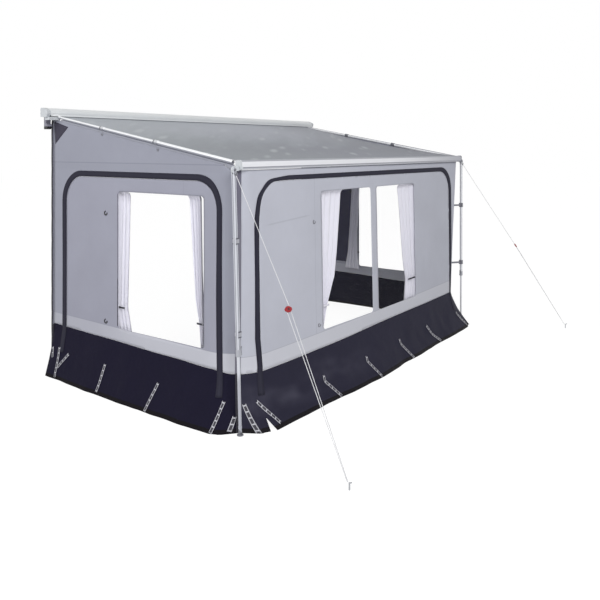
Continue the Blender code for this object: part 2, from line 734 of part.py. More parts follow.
def build_wall_bracket(side):
    """Bracket between the vehicle's side and the housing's back, with its rubber foot."""
    sign = SIDES[side]
    back = VEHICLE_Y
    top = HOUSING_BASE - GAP
    outline = [
        (back, HOUSING_BASE + 0.070), (back - BACK_PAD + GAP, HOUSING_BASE + 0.070),
        (back - BACK_PAD + GAP, HOUSING_BASE + 0.004), (back - BACK_PAD - 0.004, top),
        (back - 0.040, top), (back - 0.034, top - 0.060), *arc((back - 0.028, top - 0.092), 0.028, 150, 270, 5),
        (back, top - 0.120),
    ]
    middle = HALF + 0.062
    mesh = extrude_outline(
        f"{side}_wall_bracket", outline, [], middle - 0.026, middle + 0.026, lambda u, v, w: (sign * w, u, v)
    )
    add_object(f"{side}_wall_bracket", mesh, GREY_PLASTIC)


ROOF_EDGE = 0.024  # sheet's side edge inside the rafter's centre line


def build_roof():
    front = FRONT_Y + RAIL_DEPTH / 2 + 2 * GAP
    rear = VEHICLE_Y - BACK_PAD - 0.072
    start = RAIL_HEIGHT + RAIL_TALL / 2 - 0.006
    end = HOUSING_BASE + 0.012
    half = HALF - ROOF_EDGE
    grid = []
    for row in range(9):
        share = row / 8
        points = []
        for column in range(15):
            across = column / 14
            edge = 1 - (2 * across - 1) ** 2
            sag = ROOF_SAG * math.sin(math.pi * share) * (0.25 + 0.75 * edge)
            x = -half + 2 * half * across
            points.append((x, front + (rear - front) * share, start + (end - start) * share - sag))
        grid.append(points)
    add_object("roof_sheet", slab_mesh("roof_sheet", grid, FABRIC, level=False), ROOF_FABRIC)


# Lead rail with its keder channels
def rail_outlines():
    """Outer outline with a keder channel below and behind, and the hollow inside it."""
    deep, tall, y = RAIL_DEPTH / 2, RAIL_TALL / 2, FRONT_Y
    z = RAIL_HEIGHT
    mouth = 0.0016
    bore = 0.0042
    keder = (y - 0.004, z - tall + 0.0065)
    down = math.degrees(math.asin(mouth / bore))
    channel = arc(keder, bore, 270 + down, 630 - down, 8)
    outer = [
        (keder[0] + mouth, z - tall), *channel, (keder[0] - mouth, z - tall),
        (y - deep + 0.010, z - tall), (y - deep, z - tall + 0.012),
        *arc((y - deep + 0.026, z + tall - 0.026), 0.026, 180, 90, 5),
        (y + deep - 0.006, z + tall - 0.004), (y + deep, z + tall - 0.012),
        (y + deep, z - 0.010), (y + deep - 0.012, z - tall + 0.008), (y + deep - 0.016, z - tall),
    ]
    wall = RAIL_WALL
    hollow = [
        (y - deep + wall, z - tall + 0.020), *arc((y - deep + 0.026, z + tall - 0.026), 0.026 - wall, 180, 90, 5),
        (y + deep - 0.009, z + tall - 0.008), (y + deep - wall, z + tall - 0.014),
        (y + deep - wall, z - 0.009), (y + deep - 0.012, z - tall + 0.020),
    ]
    return outer, hollow


def build_rail():
    outer, hollow = rail_outlines()
    half = HALF - 0.006
    add_object("lead_rail", extrude_outline("lead_rail", outer, [hollow], -half, half, along_x), SILVER)


# Leg frames: from the knuckle's pin down to the foot's pin
def leg_frame(side):
    """Matrix of a leg: its origin on the knuckle's pin, its Z up along the tubes."""
    sign = SIDES[side]
    pivot = Vector((sign * (HALF + LEG_OUT), FRONT_Y, RAIL_HEIGHT - KNUCKLE_DROP))
    inward, forward = FOOT_SHIFT[side]
    foot = Vector((pivot.x - sign * inward, pivot.y + forward, FOOT_PIN_HEIGHT))
    up = (pivot - foot).normalized()
    across = Vector((0.0, 1.0, 0.0)).cross(up).normalized()
    back = up.cross(across)
    turn = Matrix((across, back, up)).transposed().to_4x4()
    return Matrix.Translation(pivot) @ turn, foot, (pivot - foot).length


def build_rail_cap(side):
    """Rail's end cap, with the knuckle that carries the leg and the eye for the guy line."""
    sign = SIDES[side]
    frame, _, _ = leg_frame(side)
    start = HALF - 0.006 + GAP
    outline = rounded_box(RAIL_DEPTH + 0.004, RAIL_TALL + 0.004, 0.016, 3, (FRONT_Y, RAIL_HEIGHT))
    mesh = extrude_outline(
        f"{side}_rail_cap", outline, [], start, start + CAP_THICK, lambda u, v, w: (sign * w, u, v)
    )
    cap = add_object(f"{side}_rail_cap", mesh, PALE_PLASTIC)
    half = KNUCKLE_WIDE / 2
    mesh = tube_mesh(f"{side}_knuckle", KNUCKLE_RADIUS, 0.0, -half, half, 24)
    turn = Matrix.Rotation(math.radians(90), 4, "X")
    fuse(cap, add_object(f"{side}_knuckle", mesh, PALE_PLASTIC, frame @ turn))
    neck = rounded_box(LEG_OUT, KNUCKLE_RADIUS * 1.5, 0.006, 2, (-sign * LEG_OUT / 2, 0.0093))
    mesh = extrude_outline(f"{side}_neck", neck, [], 0.001 - half, half - 0.001, along_y)
    fuse(cap, add_object(f"{side}_neck", mesh, PALE_PLASTIC, frame, smooth=False))
    reach = half + GAP + EAR_THICK + 0.003
    mesh = tube_mesh(f"{side}_knuckle_pin", PIN_RADIUS, 0.0, -reach, reach, 16)
    fuse(cap, add_object(f"{side}_knuckle_pin", mesh, PEG_STEEL, frame @ turn))
    eye = extrude_outline(
        f"{side}_guy_eye", rounded_box(0.012, 0.022, 0.005, 2), [], -EYE_FORWARD + 0.004, -0.010, along_y
    )
    spot = place(sign * (start + CAP_THICK / 2), FRONT_Y, RAIL_HEIGHT - 0.022)
    fuse(cap, add_object(f"{side}_guy_eye", eye, PALE_PLASTIC, spot, smooth=False))


def leg_outline(wide, deep, groove):
    """Section of a leg tube: a rounded box, with a groove down the front and back of the outer one."""
    radius = min(0.006, 0.3 * deep)
    points = []
    for index, (side, up) in enumerate(((1, 1), (-1, 1), (-1, -1), (1, -1))):
        middle = (side * (wide / 2 - radius), up * (deep / 2 - radius))
        points += arc(middle, radius, 90 * index, 90 * index + 90, 3)
        if groove and index in (0, 2):
            sign = 1 if index == 0 else -1
            edge = sign * deep / 2
            points += [(sign * 0.004, edge), (0.0, edge - sign * groove), (-sign * 0.004, edge)]
    return points


LEVER_LENGTH = 0.062
LEVER_THICK = 0.006
LUG_OUT = 0.012  # lever's pin outside the clamp's face
LUG_APART = 0.010


def build_leg(side):
    """Two tubes, the clamp's lever and the foot, hung from the knuckle."""
    frame, foot_pin, length = leg_frame(side)
    leg_axis = add_axis(f"{side}_leg_swing_axis", frame)
    split = -(length - (LEG_SPLIT - FOOT_PIN_HEIGHT))
    top = -KNUCKLE_RADIUS - 0.010
    bore = leg_outline(LEG_WIDE - 2 * LEG_WALL - 0.001, LEG_DEEP - 2 * LEG_WALL - 2 * GROOVE + 0.001, 0.0)
    outer = leg_outline(LEG_WIDE, LEG_DEEP, GROOVE)
    name = f"{side}_leg_upper_tube"
    upper = add_object(name, extrude_outline(name, outer, [bore], split, top, along_z), SILVER, parent=leg_axis)

    # Fork over the knuckle: a crosspiece in the tube's mouth and two ears with a pin hole
    half = KNUCKLE_WIDE / 2 + GAP
    head = extrude_outline(
        f"{side}_leg_head", rounded_box(LEG_WIDE + 0.002, LEG_DEEP + 0.002, 0.007, 3), [], top - 0.030, top + 0.004, along_z
    )
    fuse(upper, add_object(f"{side}_leg_head", head, PALE_PLASTIC, parent=leg_axis))
    hole = circle(PIN_RADIUS + PIN_PLAY, 16)
    for label, start in (("front", -half - EAR_THICK), ("back", half)):
        ear = [(0.014, top - 0.002), *arc((0.0, 0.0), 0.018, 0, 180, 8), (-0.014, top - 0.002)]
        mesh = extrude_outline(f"{side}_{label}_ear", ear, [hole], start, start + EAR_THICK, along_y)
        fuse(upper, add_object(f"{side}_{label}_ear", mesh, PALE_PLASTIC, parent=leg_axis))

    # Clamp round the upper tube's lower end, with two lugs for its lever on the room's side
    band = rounded_box(LEG_WIDE + 2 * CLAMP_OUT, LEG_DEEP + 2 * CLAMP_OUT, 0.009, 3)
    mouth = rounded_box(LEG_WIDE - 2 * LEG_WALL + 0.001, LEG_DEEP - 2 * GROOVE - LEG_WALL, 0.008, 3)
    collar = extrude_outline(f"{side}_clamp", band, [mouth], split - 0.002, split + 0.050, along_z)
    fuse(upper, add_object(f"{side}_clamp", collar, GREY_PLASTIC, parent=leg_axis))
    sign = SIDES[side]
    lever_pin = (LEG_WIDE / 2 + CLAMP_OUT + LUG_OUT, split + 0.010)
    for label, start in (("front", -LUG_APART / 2 - 0.004), ("back", LUG_APART / 2)):
        lug = [(lever_pin[0] - 0.0145, lever_pin[1] + 0.007), (lever_pin[0] - 0.0145, lever_pin[1] - 0.007)]
        lug += arc(lever_pin, 0.007, -90, 90, 6)
        hole = circle(0.003 + PIN_PLAY, 12, lever_pin)
        mesh = extrude_outline(
            f"{side}_{label}_lug", lug, [hole], start, start + 0.004, lambda u, v, w: (-sign * u, w, v)
        )
        fuse(upper, add_object(f"{side}_{label}_lug", mesh, GREY_PLASTIC, parent=leg_axis))
    build_lever(side, leg_axis, (-sign * lever_pin[0], lever_pin[1]))

    # Lower tube, with the tongue that the foot turns on
    lower_axis = add_axis(f"{side}_leg_slide_axis", Matrix(), leg_axis)
    inner = leg_outline(
        LEG_WIDE - 2 * LEG_WALL - 0.001 - 2 * LEG_PLAY, LEG_DEEP - 2 * LEG_WALL - 2 * GROOVE + 0.001 - 2 * LEG_PLAY, 0.0
    )
    hollow = leg_outline(LEG_WIDE - 0.012, LEG_DEEP - 0.0175, 0.0)
    end = -length + 0.024
    name = f"{side}_leg_lower_tube"
    mesh = extrude_outline(name, inner, [hollow], end, split + LEG_LAP, along_z)
    lower = add_object(name, mesh, SILVER, parent=lower_axis)
    boot = rounded_box(LEG_WIDE - 0.003, LEG_DEEP - 0.005, 0.006, 3)
    plug = extrude_outline(f"{side}_leg_plug", boot, [], end - 0.003, end + 0.020, along_z)
    fuse(lower, add_object(f"{side}_leg_plug", plug, GREY_PLASTIC, parent=lower_axis))
    tongue = [(0.010, 0.030), (-0.010, 0.030), *arc((0.0, 0.0), 0.010, 180, 360, 8)]
    hole = circle(0.004 + PIN_PLAY, 12)
    mesh = extrude_outline(f"{side}_tongue", tongue, [hole], -0.006, 0.006, along_x)
    fuse(lower, add_object(f"{side}_tongue", mesh, GREY_PLASTIC, place(0, 0, -length), lower_axis))
    build_foot(side, foot_pin)


def build_lever(side, leg_axis, pin):
    """Cam lever of the clamp: it lies along the tube and swings out."""
    frame = add_axis(f"{side}_lever_axis", place(pin[0], 0.0, pin[1]), leg_axis)
    half = LUG_APART / 2 - GAP
    bar = [
        *arc((0.0, 0.0), 0.0065, 200, 340, 5), (0.0050, 0.012), (0.0035, LEVER_LENGTH * 0.6),
        (-0.0030, LEVER_LENGTH), (-0.0090, LEVER_LENGTH - 0.003), (-0.0030, LEVER_LENGTH * 0.6),
        (-0.0045, 0.012),
    ]
    sign = SIDES[side]
    mesh = extrude_outline(f"{side}_clamp_lever", bar, [], -half, half, lambda u, v, w: (sign * u, w, v))
    lever = add_object(f"{side}_clamp_lever", mesh, GREY_PLASTIC, parent=frame)
    turn = Matrix.Rotation(math.radians(90), 4, "X")
    reach = LUG_APART / 2 + 0.006
    pin_mesh = tube_mesh(f"{side}_lever_pin", 0.003, 0.0, -reach, reach, 12)
    fuse(lever, add_object(f"{side}_lever_pin", pin_mesh, PEG_STEEL, turn, frame))


def build_foot(side, foot_pin):
    """Round foot with two ears and the pin that the leg's tongue turns on."""
    frame = add_axis(f"{side}_foot_axis", Matrix.Translation(foot_pin))
    base = -FOOT_PIN_HEIGHT
    name = f"{side}_foot"
    mesh = extrude_outline(name, circle(FOOT_RADIUS, 24), [], base, base + FOOT_PLATE, along_z)
    foot = add_object(name, mesh, GREY_PLASTIC, parent=frame)
    for label, start in (("outer", -0.012), ("inner", 0.0065)):
        ear = [(0.012, base + 0.004), *arc((0.0, 0.0), 0.009, 0, 180, 8), (-0.012, base + 0.004)]
        mesh = extrude_outline(f"{side}_foot_{label}_ear", ear, [], start, start + 0.0055, along_x)
        fuse(foot, add_object(f"{side}_foot_{label}_ear", mesh, GREY_PLASTIC, parent=frame))
    turn = Matrix.Rotation(math.radians(90), 4, "Y")
    mesh = tube_mesh(f"{side}_foot_pin", 0.004, 0.0, -0.010, 0.010, 12)
    fuse(foot, add_object(f"{side}_foot_pin", mesh, PEG_STEEL, turn, frame))


# Clips that tie the fabric's corner to the leg
CLIP_TALL = 0.050
CLIP_ARM = 0.005
CLIP_PLAY = 0.0014


def build_clip(side, label):
    """A jaw round the leg, open outwards, on a bar from the fabric's corner."""
    sign = SIDES[side]
    z = CLIP_HEIGHTS[label]
    frame, _, length = leg_frame(side)
    share = (frame.translation.z - z) / length
    leg = frame @ Vector((0.0, 0.0, -share * length))
    inner = LEG_DEEP / 2 + CLIP_PLAY
    outer = inner + CLIP_ARM
    back = LEG_WIDE / 2 + CLIP_PLAY
    jaw = [
        (-0.012, -outer), (back + CLIP_ARM, -outer), (back + CLIP_ARM, outer), (-0.012, outer),
        (-0.012, inner), (back, inner), (back, -inner), (-0.012, -inner),
    ]
    name = f"{side}_{label}_leg_clip"
    mesh = extrude_outline(
        name, jaw, [], z - CLIP_TALL / 2, z + CLIP_TALL / 2, lambda u, v, w: (leg.x - sign * u, leg.y + v, w)
    )
    clip = add_object(name, mesh, GREY_PLASTIC, smooth=False)
    corner = corner_start(z)
    end = Vector((sign * (HALF - corner), FRONT_Y + corner, z))
    outwards = Vector((sign, -1.0, 0.0)).normalized()
    end += outwards * 2 * GAP
    start = Vector((leg.x - sign * (back + CLIP_ARM / 2), leg.y, z))
    run = end - start
    half = CLIP_ARM / 2
    across = Vector((-run.y, run.x, 0.0)).normalized() * half
    plan = [start - across, end - across, end + across, start + across]
    reach = CLIP_TALL / 2 - 0.014
    mesh = extrude_outline(f"{name}_bar", [(p.x, p.y) for p in plan], [], z - reach, z + reach, along_z)
    fuse(clip, add_object(f"{name}_bar", mesh, GREY_PLASTIC, smooth=False))


# Rafters in three telescoping tubes
def build_rafter(side):
    sign = SIDES[side]
    tilt = math.atan(RAFTER_SLOPE)
    foot = Vector((sign * HALF, FRONT_Y, rafter_height(0.0)))
    frame = Matrix.Translation(foot) @ Matrix.Rotation(tilt - math.radians(90), 4, "X")
    stretch = 1 / math.cos(tilt)
    ends = [RAFTER_ENDS[0], *RAFTER_JOINTS, RAFTER_ENDS[1]]
    names = ["front", "middle", "rear"]
    for index, name in enumerate(names):
        radius = RAFTER_RADII[index]
        start = ends[index] * stretch - (RAFTER_LAP if index else 0.0)
        end = ends[index + 1] * stretch
        full = f"{side}_rafter_{name}_tube"
        bore = radius - RAFTER_WALL if index < 2 else 0.0
        tube = add_object(full, tube_mesh(full, radius, bore, start, end), SILVER, frame)
        if index < 2:
            collar = tube_mesh(
                f"{full}_collar", radius + COLLAR_STEP, radius - RAFTER_WALL, end - COLLAR_LENGTH, end + 0.004
            )
            fuse(tube, add_object(f"{full}_collar", collar, GREY_PLASTIC, frame))


# Guy lines, runners and pegs
def guy_ends(side):
    sign = SIDES[side]
    eye = Vector((sign * (HALF + CAP_THICK / 2 - 0.006), FRONT_Y - EYE_FORWARD, RAIL_HEIGHT - 0.022))
    out, forward = PEG_SPOT[side]
    peg = Vector((sign * (HALF + out), FRONT_Y + forward, 0.040))
    return eye, peg


def cord_object(name, points, radius):
    curve = bpy.data.curves.new(name, "CURVE")
    curve.dimensions = "3D"
    curve.bevel_depth = radius
    curve.bevel_resolution = 2
    curve.use_fill_caps = True
    spline = curve.splines.new("POLY")
    spline.points.add(len(points) - 1)
    for point, place_at in zip(spline.points, points):
        point.co = (*place_at, 1.0)
    curve.materials.append(CORD_WHITE)
    obj = bpy.data.objects.new(name, curve)
    bpy.context.scene.collection.objects.link(obj)
    return obj


def build_guy(side):
    eye, peg = guy_ends(side)
    run = (peg - eye).normalized()
    across = run.cross(Vector((0.0, 0.0, 1.0))).normalized()
    start = eye + run * 0.003
    stop = peg - run * 0.010
    points = [start.lerp(stop, index / 24) for index in range(25)]
    cord_object(f"{side}_guy_line", points, CORD_RADIUS)

    length = (peg - eye).length
    middle = eye + run * (length * RUNNER_SHARE[side])
    down = run
    turn = Matrix((across, down.cross(across), down)).transposed().to_4x4()
    frame = Matrix.Translation(middle) @ turn
    runner_axis = add_axis(f"{side}_runner_axis", frame)
    reach, tall = STRAND_APART / 2 + 0.012, RUNNER_TALL / 2
    inner = STRAND_APART / 2
    plate = [(inner - reach, -0.008), (inner - 0.010, -tall), (inner + 0.010, -tall)]
    plate += [(inner + reach, -0.008), (inner + reach, 0.008), (inner + 0.010, tall)]
    plate += [(inner - 0.010, tall), (inner - reach, 0.008)]
    name = f"{side}_guy_runner"
    mesh = extrude_outline(name, plate, [], -0.006, 0.006, lambda u, v, w: (u, w, v))
    runner = add_object(name, mesh, RUNNER_RED, parent=runner_axis)
    bore = tube_mesh(f"{name}_bore", CORD_RADIUS + PIN_PLAY, 0.0, -RUNNER_TALL, RUNNER_TALL, 12)
    cut(runner, add_object(f"{name}_bore", bore, RUNNER_RED, parent=runner_axis))

    first = middle + across * STRAND_APART + run * (RUNNER_TALL / 2 + 2 * GAP)
    last = stop + across * (2 * CORD_RADIUS + 2 * GAP)
    points = [first.lerp(last, index / 12) for index in range(13)]
    cord_object(f"{side}_guy_return", points, CORD_RADIUS)

    # Peg: the part that stands out of the ground, with its hooked head
    sign = SIDES[side]
    lean = Vector((run.x, run.y, 0.0)).normalized()
    base = Vector((peg.x, peg.y, 0.0)) + lean * 0.004
    name = f"{side}_guy_peg"
    heading = Matrix((lean.cross(Vector((0, 0, 1))), lean, Vector((0, 0, 1)))).transposed().to_4x4()
    shank = [(0.000, 0.0), (0.009, 0.0), (0.009, 0.045), (0.026, 0.053), (0.023, 0.060), (0.000, 0.050)]
    mesh = extrude_outline(name, shank, [], -PEG_RADIUS, PEG_RADIUS, lambda u, v, w: (w, u, v))
    add_object(name, mesh, PEG_STEEL, Matrix.Translation(base) @ heading)
    return sign


# Assembly
def parent_to(pieces, axis):
    """Hangs finished pieces on an axis empty without moving them."""
    for piece in pieces:
        piece.parent = axis
        piece.matrix_parent_inverse = axis.matrix_basis.inverted()


build_housing()
build_roof()
build_rail()
build_skirts()
front_axis = add_axis("front_panel_axis", place(0.0, FRONT_Y - BULGE, SEAM_HEIGHT))
front_pieces = build_front()
for label, edge, curtain in (("left", 0, FRONT_LEFT_CURTAIN), ("right", 1, FRONT_RIGHT_CURTAIN)):
    edges = edges_from(FRONT_WINDOW[edge], curtain)
    front_pieces.append(build_curtain(f"front_{label}_curtain", front_point, 1, edges))
parent_to(front_pieces, front_axis)
for side, sign in SIDES.items():
    build_housing_cap(side)
    build_wall_bracket(side)
    build_rail_cap(side)
    build_rafter(side)
    build_rear_pad(side)
    panel_axis = add_axis(f"{side}_panel_axis", place(sign * HALF, 0.0, SEAM_HEIGHT))
    parent_to(build_side(side) + build_curtains(side), panel_axis)
    build_leg(side)
    for label in CLIP_HEIGHTS:
        build_clip(side, label)
    build_guy(side)
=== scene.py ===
# %% [markdown]
# # A roll-out awning with a zip-in room
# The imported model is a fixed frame: rigid tubes, rails and fittings keep their shape from it, and only get
# a finish here. All that is cloth on the real thing is made again as thin cloth, piece by piece.

# %% Load the frame
import math
import bmesh
import bpy
import numpy as np
from mathutils import Matrix, Vector, noise
from mathutils.geometry import delaunay_2d_cdt


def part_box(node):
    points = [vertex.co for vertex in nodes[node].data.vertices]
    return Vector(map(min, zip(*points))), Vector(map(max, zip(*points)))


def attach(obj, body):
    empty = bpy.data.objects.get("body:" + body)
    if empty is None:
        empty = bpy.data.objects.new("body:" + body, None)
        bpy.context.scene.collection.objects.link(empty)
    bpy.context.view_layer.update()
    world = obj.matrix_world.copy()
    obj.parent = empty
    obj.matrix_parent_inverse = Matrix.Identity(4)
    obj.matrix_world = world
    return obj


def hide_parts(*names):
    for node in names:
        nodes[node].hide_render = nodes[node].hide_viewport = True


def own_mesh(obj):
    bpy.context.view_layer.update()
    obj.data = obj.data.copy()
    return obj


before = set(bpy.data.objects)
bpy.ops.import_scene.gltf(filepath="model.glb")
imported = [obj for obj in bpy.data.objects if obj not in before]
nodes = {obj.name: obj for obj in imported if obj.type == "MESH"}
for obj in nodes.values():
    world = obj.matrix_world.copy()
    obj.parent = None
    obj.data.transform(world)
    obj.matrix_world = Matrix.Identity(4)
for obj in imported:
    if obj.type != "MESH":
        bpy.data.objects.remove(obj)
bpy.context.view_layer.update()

# %% [markdown]
# ## The camera
# The picture was taken from the front left, a little above the lead rail, with the camera held level. Level
# walls stay upright in such a picture, so the camera isn't tilted down: its frame is shifted instead.

# %% Camera
camera = bpy.data.objects.new("camera", bpy.data.cameras.new("camera"))
bpy.context.scene.collection.objects.link(camera)
camera.location = (-6.199, -4.774, 2.245)
camera.rotation_euler = (math.radians(90), 0, math.radians(-53.37))
camera.data.lens = 41.6
camera.data.shift_y = -0.2528
bpy.context.scene.camera = camera
print("camera", tuple(camera.location))

# %% [markdown]
# ## Sizes that the cloth needs
# The cloth follows the same named sizes as the solids: the span between the rafters, the heights of rail and
# housing, the seam between wall and skirt, and how far the hem stands out. Lines that run along a wall are
# lists of stations: how far along the wall, and how high or how far out there.

# %% Sizes
SPAN = 4.21  # between the rafters
HALF = SPAN / 2
RAIL_HEIGHT, HOUSING_BASE = 2.113, 2.555  # the rail's middle, and the housing's underside
HOUSING_CLEAR = 0.031  # cloth ends this far under the housing
SEAM, BULGE = 0.460, 0.042  # between wall and skirt, and the front wall's belly there
RAIL_CORNER, SEAM_CORNER, HEM_CORNER = 0.13, 0.35, 0.0  # radius of the front corners, from the rail down
CORNER_ZIP, CORNER_REACH = 0.004, 0.30  # room for the corner zip, and where its effect ends
FRONT_TOP, REAR_EDGE = 2.071, 2.46  # top of the front wall, and length of a side wall
VEHICLE_Y, FRONT_Y = 1.37, -1.13
GAP, PANEL_GAP = 0.0005, 0.0015  # between sewn sheets, and round a zipped panel
DOOR_FOOT = SEAM + 0.03  # an arch's own points start above this, so that the seam's line can pass under them
BAND_FOOT, BAND_RADIUS = 0.25, 0.30
HEM_FOOT = 0.001  # the hem just clears the ground
# Each zip flap: outer edges, widths of its legs, top, height of its crown, leans of its outer and inner legs,
# and whether its low corner is cut its own way
SIDE_BAND = ((0.148, 2.320), (0.072, 0.066), 2.031, 0.054, (0.0, 0.0), (0.0, 0.0), False)
FRONT_BAND = ((0.150, 3.965), (0.078, 0.085), 2.015, 0.048, (0.058, 0.025), (0.056, 0.010), True)
# How the front flap's low corner is cut: places along it, in from the flap's edge and down from its top
OUTER_CORNER = (
    (0.499, 0.002), (0.360, 0.013), (0.221, 0.034), (0.129, 0.103), (0.061, 0.169), (0.022, 0.295), (0.008, 0.420),
    (0.015, 0.915), (0.022, 1.325),
)
INNER_CORNER = (
    (0.421, -0.006), (0.275, -0.003), (0.185, 0.008), (0.097, 0.068), (0.040, 0.146), (0.008, 0.267), (0.001, 0.400),
    (0.003, 0.877), (0.017, 1.277),
)
FOOT_DRIFT = {"front": 0.055, "left": 0.031, "right": 0.031}  # of a zip flap's near leg, below the seam
# Windows: low and high edge along the wall, foot, top
SIDE_WINDOW, SIDE_SCREEN = (0.385, 1.47, 0.60, 1.85), (1.58, 2.17, 0.65, 1.85)
WINDOWS = {"left": SIDE_WINDOW, "right": (0.385, 1.497, 0.60, 1.85)}
FRONT_WINDOW, MULLION = (1.13, 2.955, 0.585, 1.85), (2.00, 2.118)
WINDOW_ROUND = 0.03
RAFTER_RISE, RAFTER_SLOPE, WALL_DROP = 0.012, 0.426 / 2.379, 0.028
RAFTER_JOINTS, RAFTER_RADII = (0.98, 1.72), (0.0170, 0.0150, 0.0130)  # where its tubes meet, from the rail
SIDE_SEAM = ((0.0, -0.038), (0.30, -0.008), (0.80, 0.004), (1.75, 0.026), (2.50, 0.041))
FRONT_SEAM = ((0.0, -0.040), (0.60, -0.036), (1.11, -0.029), (2.49, -0.002), (4.21, 0.004))
SIDE_HEM = ((0.10, 0.125), (0.19, 0.155), (0.50, 0.16), (1.20, 0.155), (1.70, 0.14), (2.50, 0.10))
FRONT_HEM = ((0.11, 0.154), (0.24, 0.21), (0.96, 0.215), (1.87, 0.24), (2.60, 0.20), (3.37, 0.165), (4.10, 0.15))
HEM_TIP = (0.075, 0.105)  # how far the hem's right front end is drawn out
SIGN = {"left": -1, "right": 1}
print("seam at", SEAM, "m, roof edge from", RAIL_HEIGHT, "to", HOUSING_BASE, "m")

# %% [markdown]
# ## Shader maths in plain Python
# A finish is a network of nodes. Wrapping a socket in a small class lets `1 - mask` or `a * b` add the Math
# nodes, and one method adds any other node, so a finish reads like the sentence that describes it.

# %% Socket and finish classes
class Wire:
    """A socket whose value can be used in plain maths."""

    def __init__(self, finish, socket):
        self.finish, self.socket = finish, socket

    def maths(self, operation, first, second=0.0):
        return self.finish.node("Math", {"operation": operation}, {0: first, 1: second})

    def __add__(self, other):
        return self.maths("ADD", self, other)

    def __sub__(self, other):
        return self.maths("SUBTRACT", self, other)

    def __rsub__(self, other):
        return self.maths("SUBTRACT", other, self)

    def __mul__(self, other):
        return self.maths("MULTIPLY", self, other)

    def __pow__(self, other):
        return self.maths("POWER", self, other)

    def sine(self):
        return self.maths("SINE", self)

    def size(self):
        return self.maths("ABSOLUTE", self)

    def step(self, low, high):
        """0 below low and 1 above high, eased between."""
        settings = {"interpolation_type": "SMOOTHSTEP"}
        return self.finish.node("MapRange", settings, {0: self, 1: low, 2: high, 3: 0.0, 4: 1.0})


class Finish:
    """A material under construction."""

    def __init__(self, name, slot):
        self.material = bpy.data.materials.new(name)
        self.material.use_nodes = True
        self.slot = slot
        self.links = self.material.node_tree.links
        self.shader = self.material.node_tree.nodes["Principled BSDF"]

    def feed(self, target, values):
        for key, value in values.items():
            if isinstance(value, Wire):
                self.links.new(value.socket, target.inputs[key])
            else:
                target.inputs[key].default_value = value

    def node(self, kind, settings=None, values=None, output=0):
        made = self.material.node_tree.nodes.new("ShaderNode" + kind)
        for key, value in (settings or {}).items():
            if key == "stops":
                for stop in value[2:]:
                    made.color_ramp.elements.new(stop[0])
                for element, (place, shade) in zip(made.color_ramp.elements, value):
                    element.position, element.color = place, (*shade, 1.0)
            else:
                setattr(made, key, value)
        self.feed(made, values or {})
        return Wire(self, made.outputs[output])

    def mix(self, factor, first, second):
        """A colour between two colours."""
        whole = [value if isinstance(value, Wire) else (*value, 1.0) for value in (first, second)]
        return self.node("Mix", {"data_type": "RGBA"}, {0: factor, 6: whole[0], 7: whole[1]}, 2)

    def place(self, kind="Object"):
        return self.node("TexCoord", None, None, kind)

    def apart(self, place):
        """The three numbers of a place."""
        return [self.node("SeparateXYZ", None, {0: place}, axis) for axis in range(3)]

    def mottle(self, place, scale, detail=3.0, rough=0.55):
        return self.node("TexNoise", None, {"Vector": place, "Scale": scale, "Detail": detail, "Roughness": rough})

    def stretched(self, place, scale):
        """The place with each axis scaled on its own."""
        return self.node("Mapping", None, {"Vector": place, "Scale": scale})

    def bump(self, height, strength, distance, under=None):
        values = {"Height": height, "Strength": strength, "Distance": distance}
        if under is not None:
            values["Normal"] = under
        return self.node("Bump", None, values)

    def set(self, **values):
        self.feed(self.shader, {key.replace("_", " "): value for key, value in values.items()})
        return self


def tone(red, green, blue):
    """A colour as it shows on a screen, 0 to 255, in the linear values that shaders use."""
    return tuple((v / 255 / 12.92) if v <= 10 else ((v / 255 + 0.055) / 1.055) ** 2.4 for v in (red, green, blue))


print("a mid grey of 128 is", round(tone(128, 128, 128)[0], 3), "in a shader")

# %% [markdown]
# ## Cloth finishes
# The walls are coated polyester: matt, with a fine square weave, slightly uneven in tone where the coating
# lies thicker. The patterns follow the cloth's own UV map, which is in metres, so the weave keeps its scale
# round the corners. A paler strip is woven in just above the skirt, so the tone changes with the height.

# %% Cloth
def weave(finish, place, pitch):
    """Over and under of square threads, from -1 to 1."""
    u, v, _ = finish.apart(place)
    return (u * (math.tau / pitch)).sine() * (v * (math.tau / pitch)).sine()


def cloth_finish(
    name, slot, shade, pitch=0.003, rough=0.8, uneven=0.10, relief=0.10, extra=None,
    folds=(7.0, 0.35, 0.006, 0.5), **constants
):
    """Woven cloth. folds gives the crumple's scale, strength, depth in metres and stretch along the height."""
    finish = Finish(name, slot)
    place = finish.place("UV")
    threads = weave(finish, place, pitch)
    soft = finish.mottle(place, 2.2, 4.0)
    fine = finish.mottle(finish.stretched(place, (1.0, 0.35, 1.0)), 26.0, 3.0)
    darker = tuple(v * (1 - uneven) for v in shade)
    lighter = tuple(v * (1 + uneven) for v in shade)
    colour = finish.mix((soft * 1.3 - 0.15) * 0.7 + fine * 0.2 + threads * 0.06, darker, lighter)
    if extra:
        colour = extra(finish, colour, place)
    crumple = finish.mottle(finish.stretched(place, (1.0, folds[3], 1.0)), folds[0], 3.0)
    normal = finish.bump(crumple, *folds[1:3])
    normal = finish.bump(threads, relief, 0.0004, normal)
    finish.set(Base_Color=colour, Roughness=fine * 0.12 + (rough - 0.06), Normal=normal, **constants)
    return finish


def stitched(finish, colour, across, strength):
    """A fine sewn line where across is 0."""
    return finish.mix((1 - across.size().step(0.001, 0.004)) * strength, colour, tone(120, 122, 134))


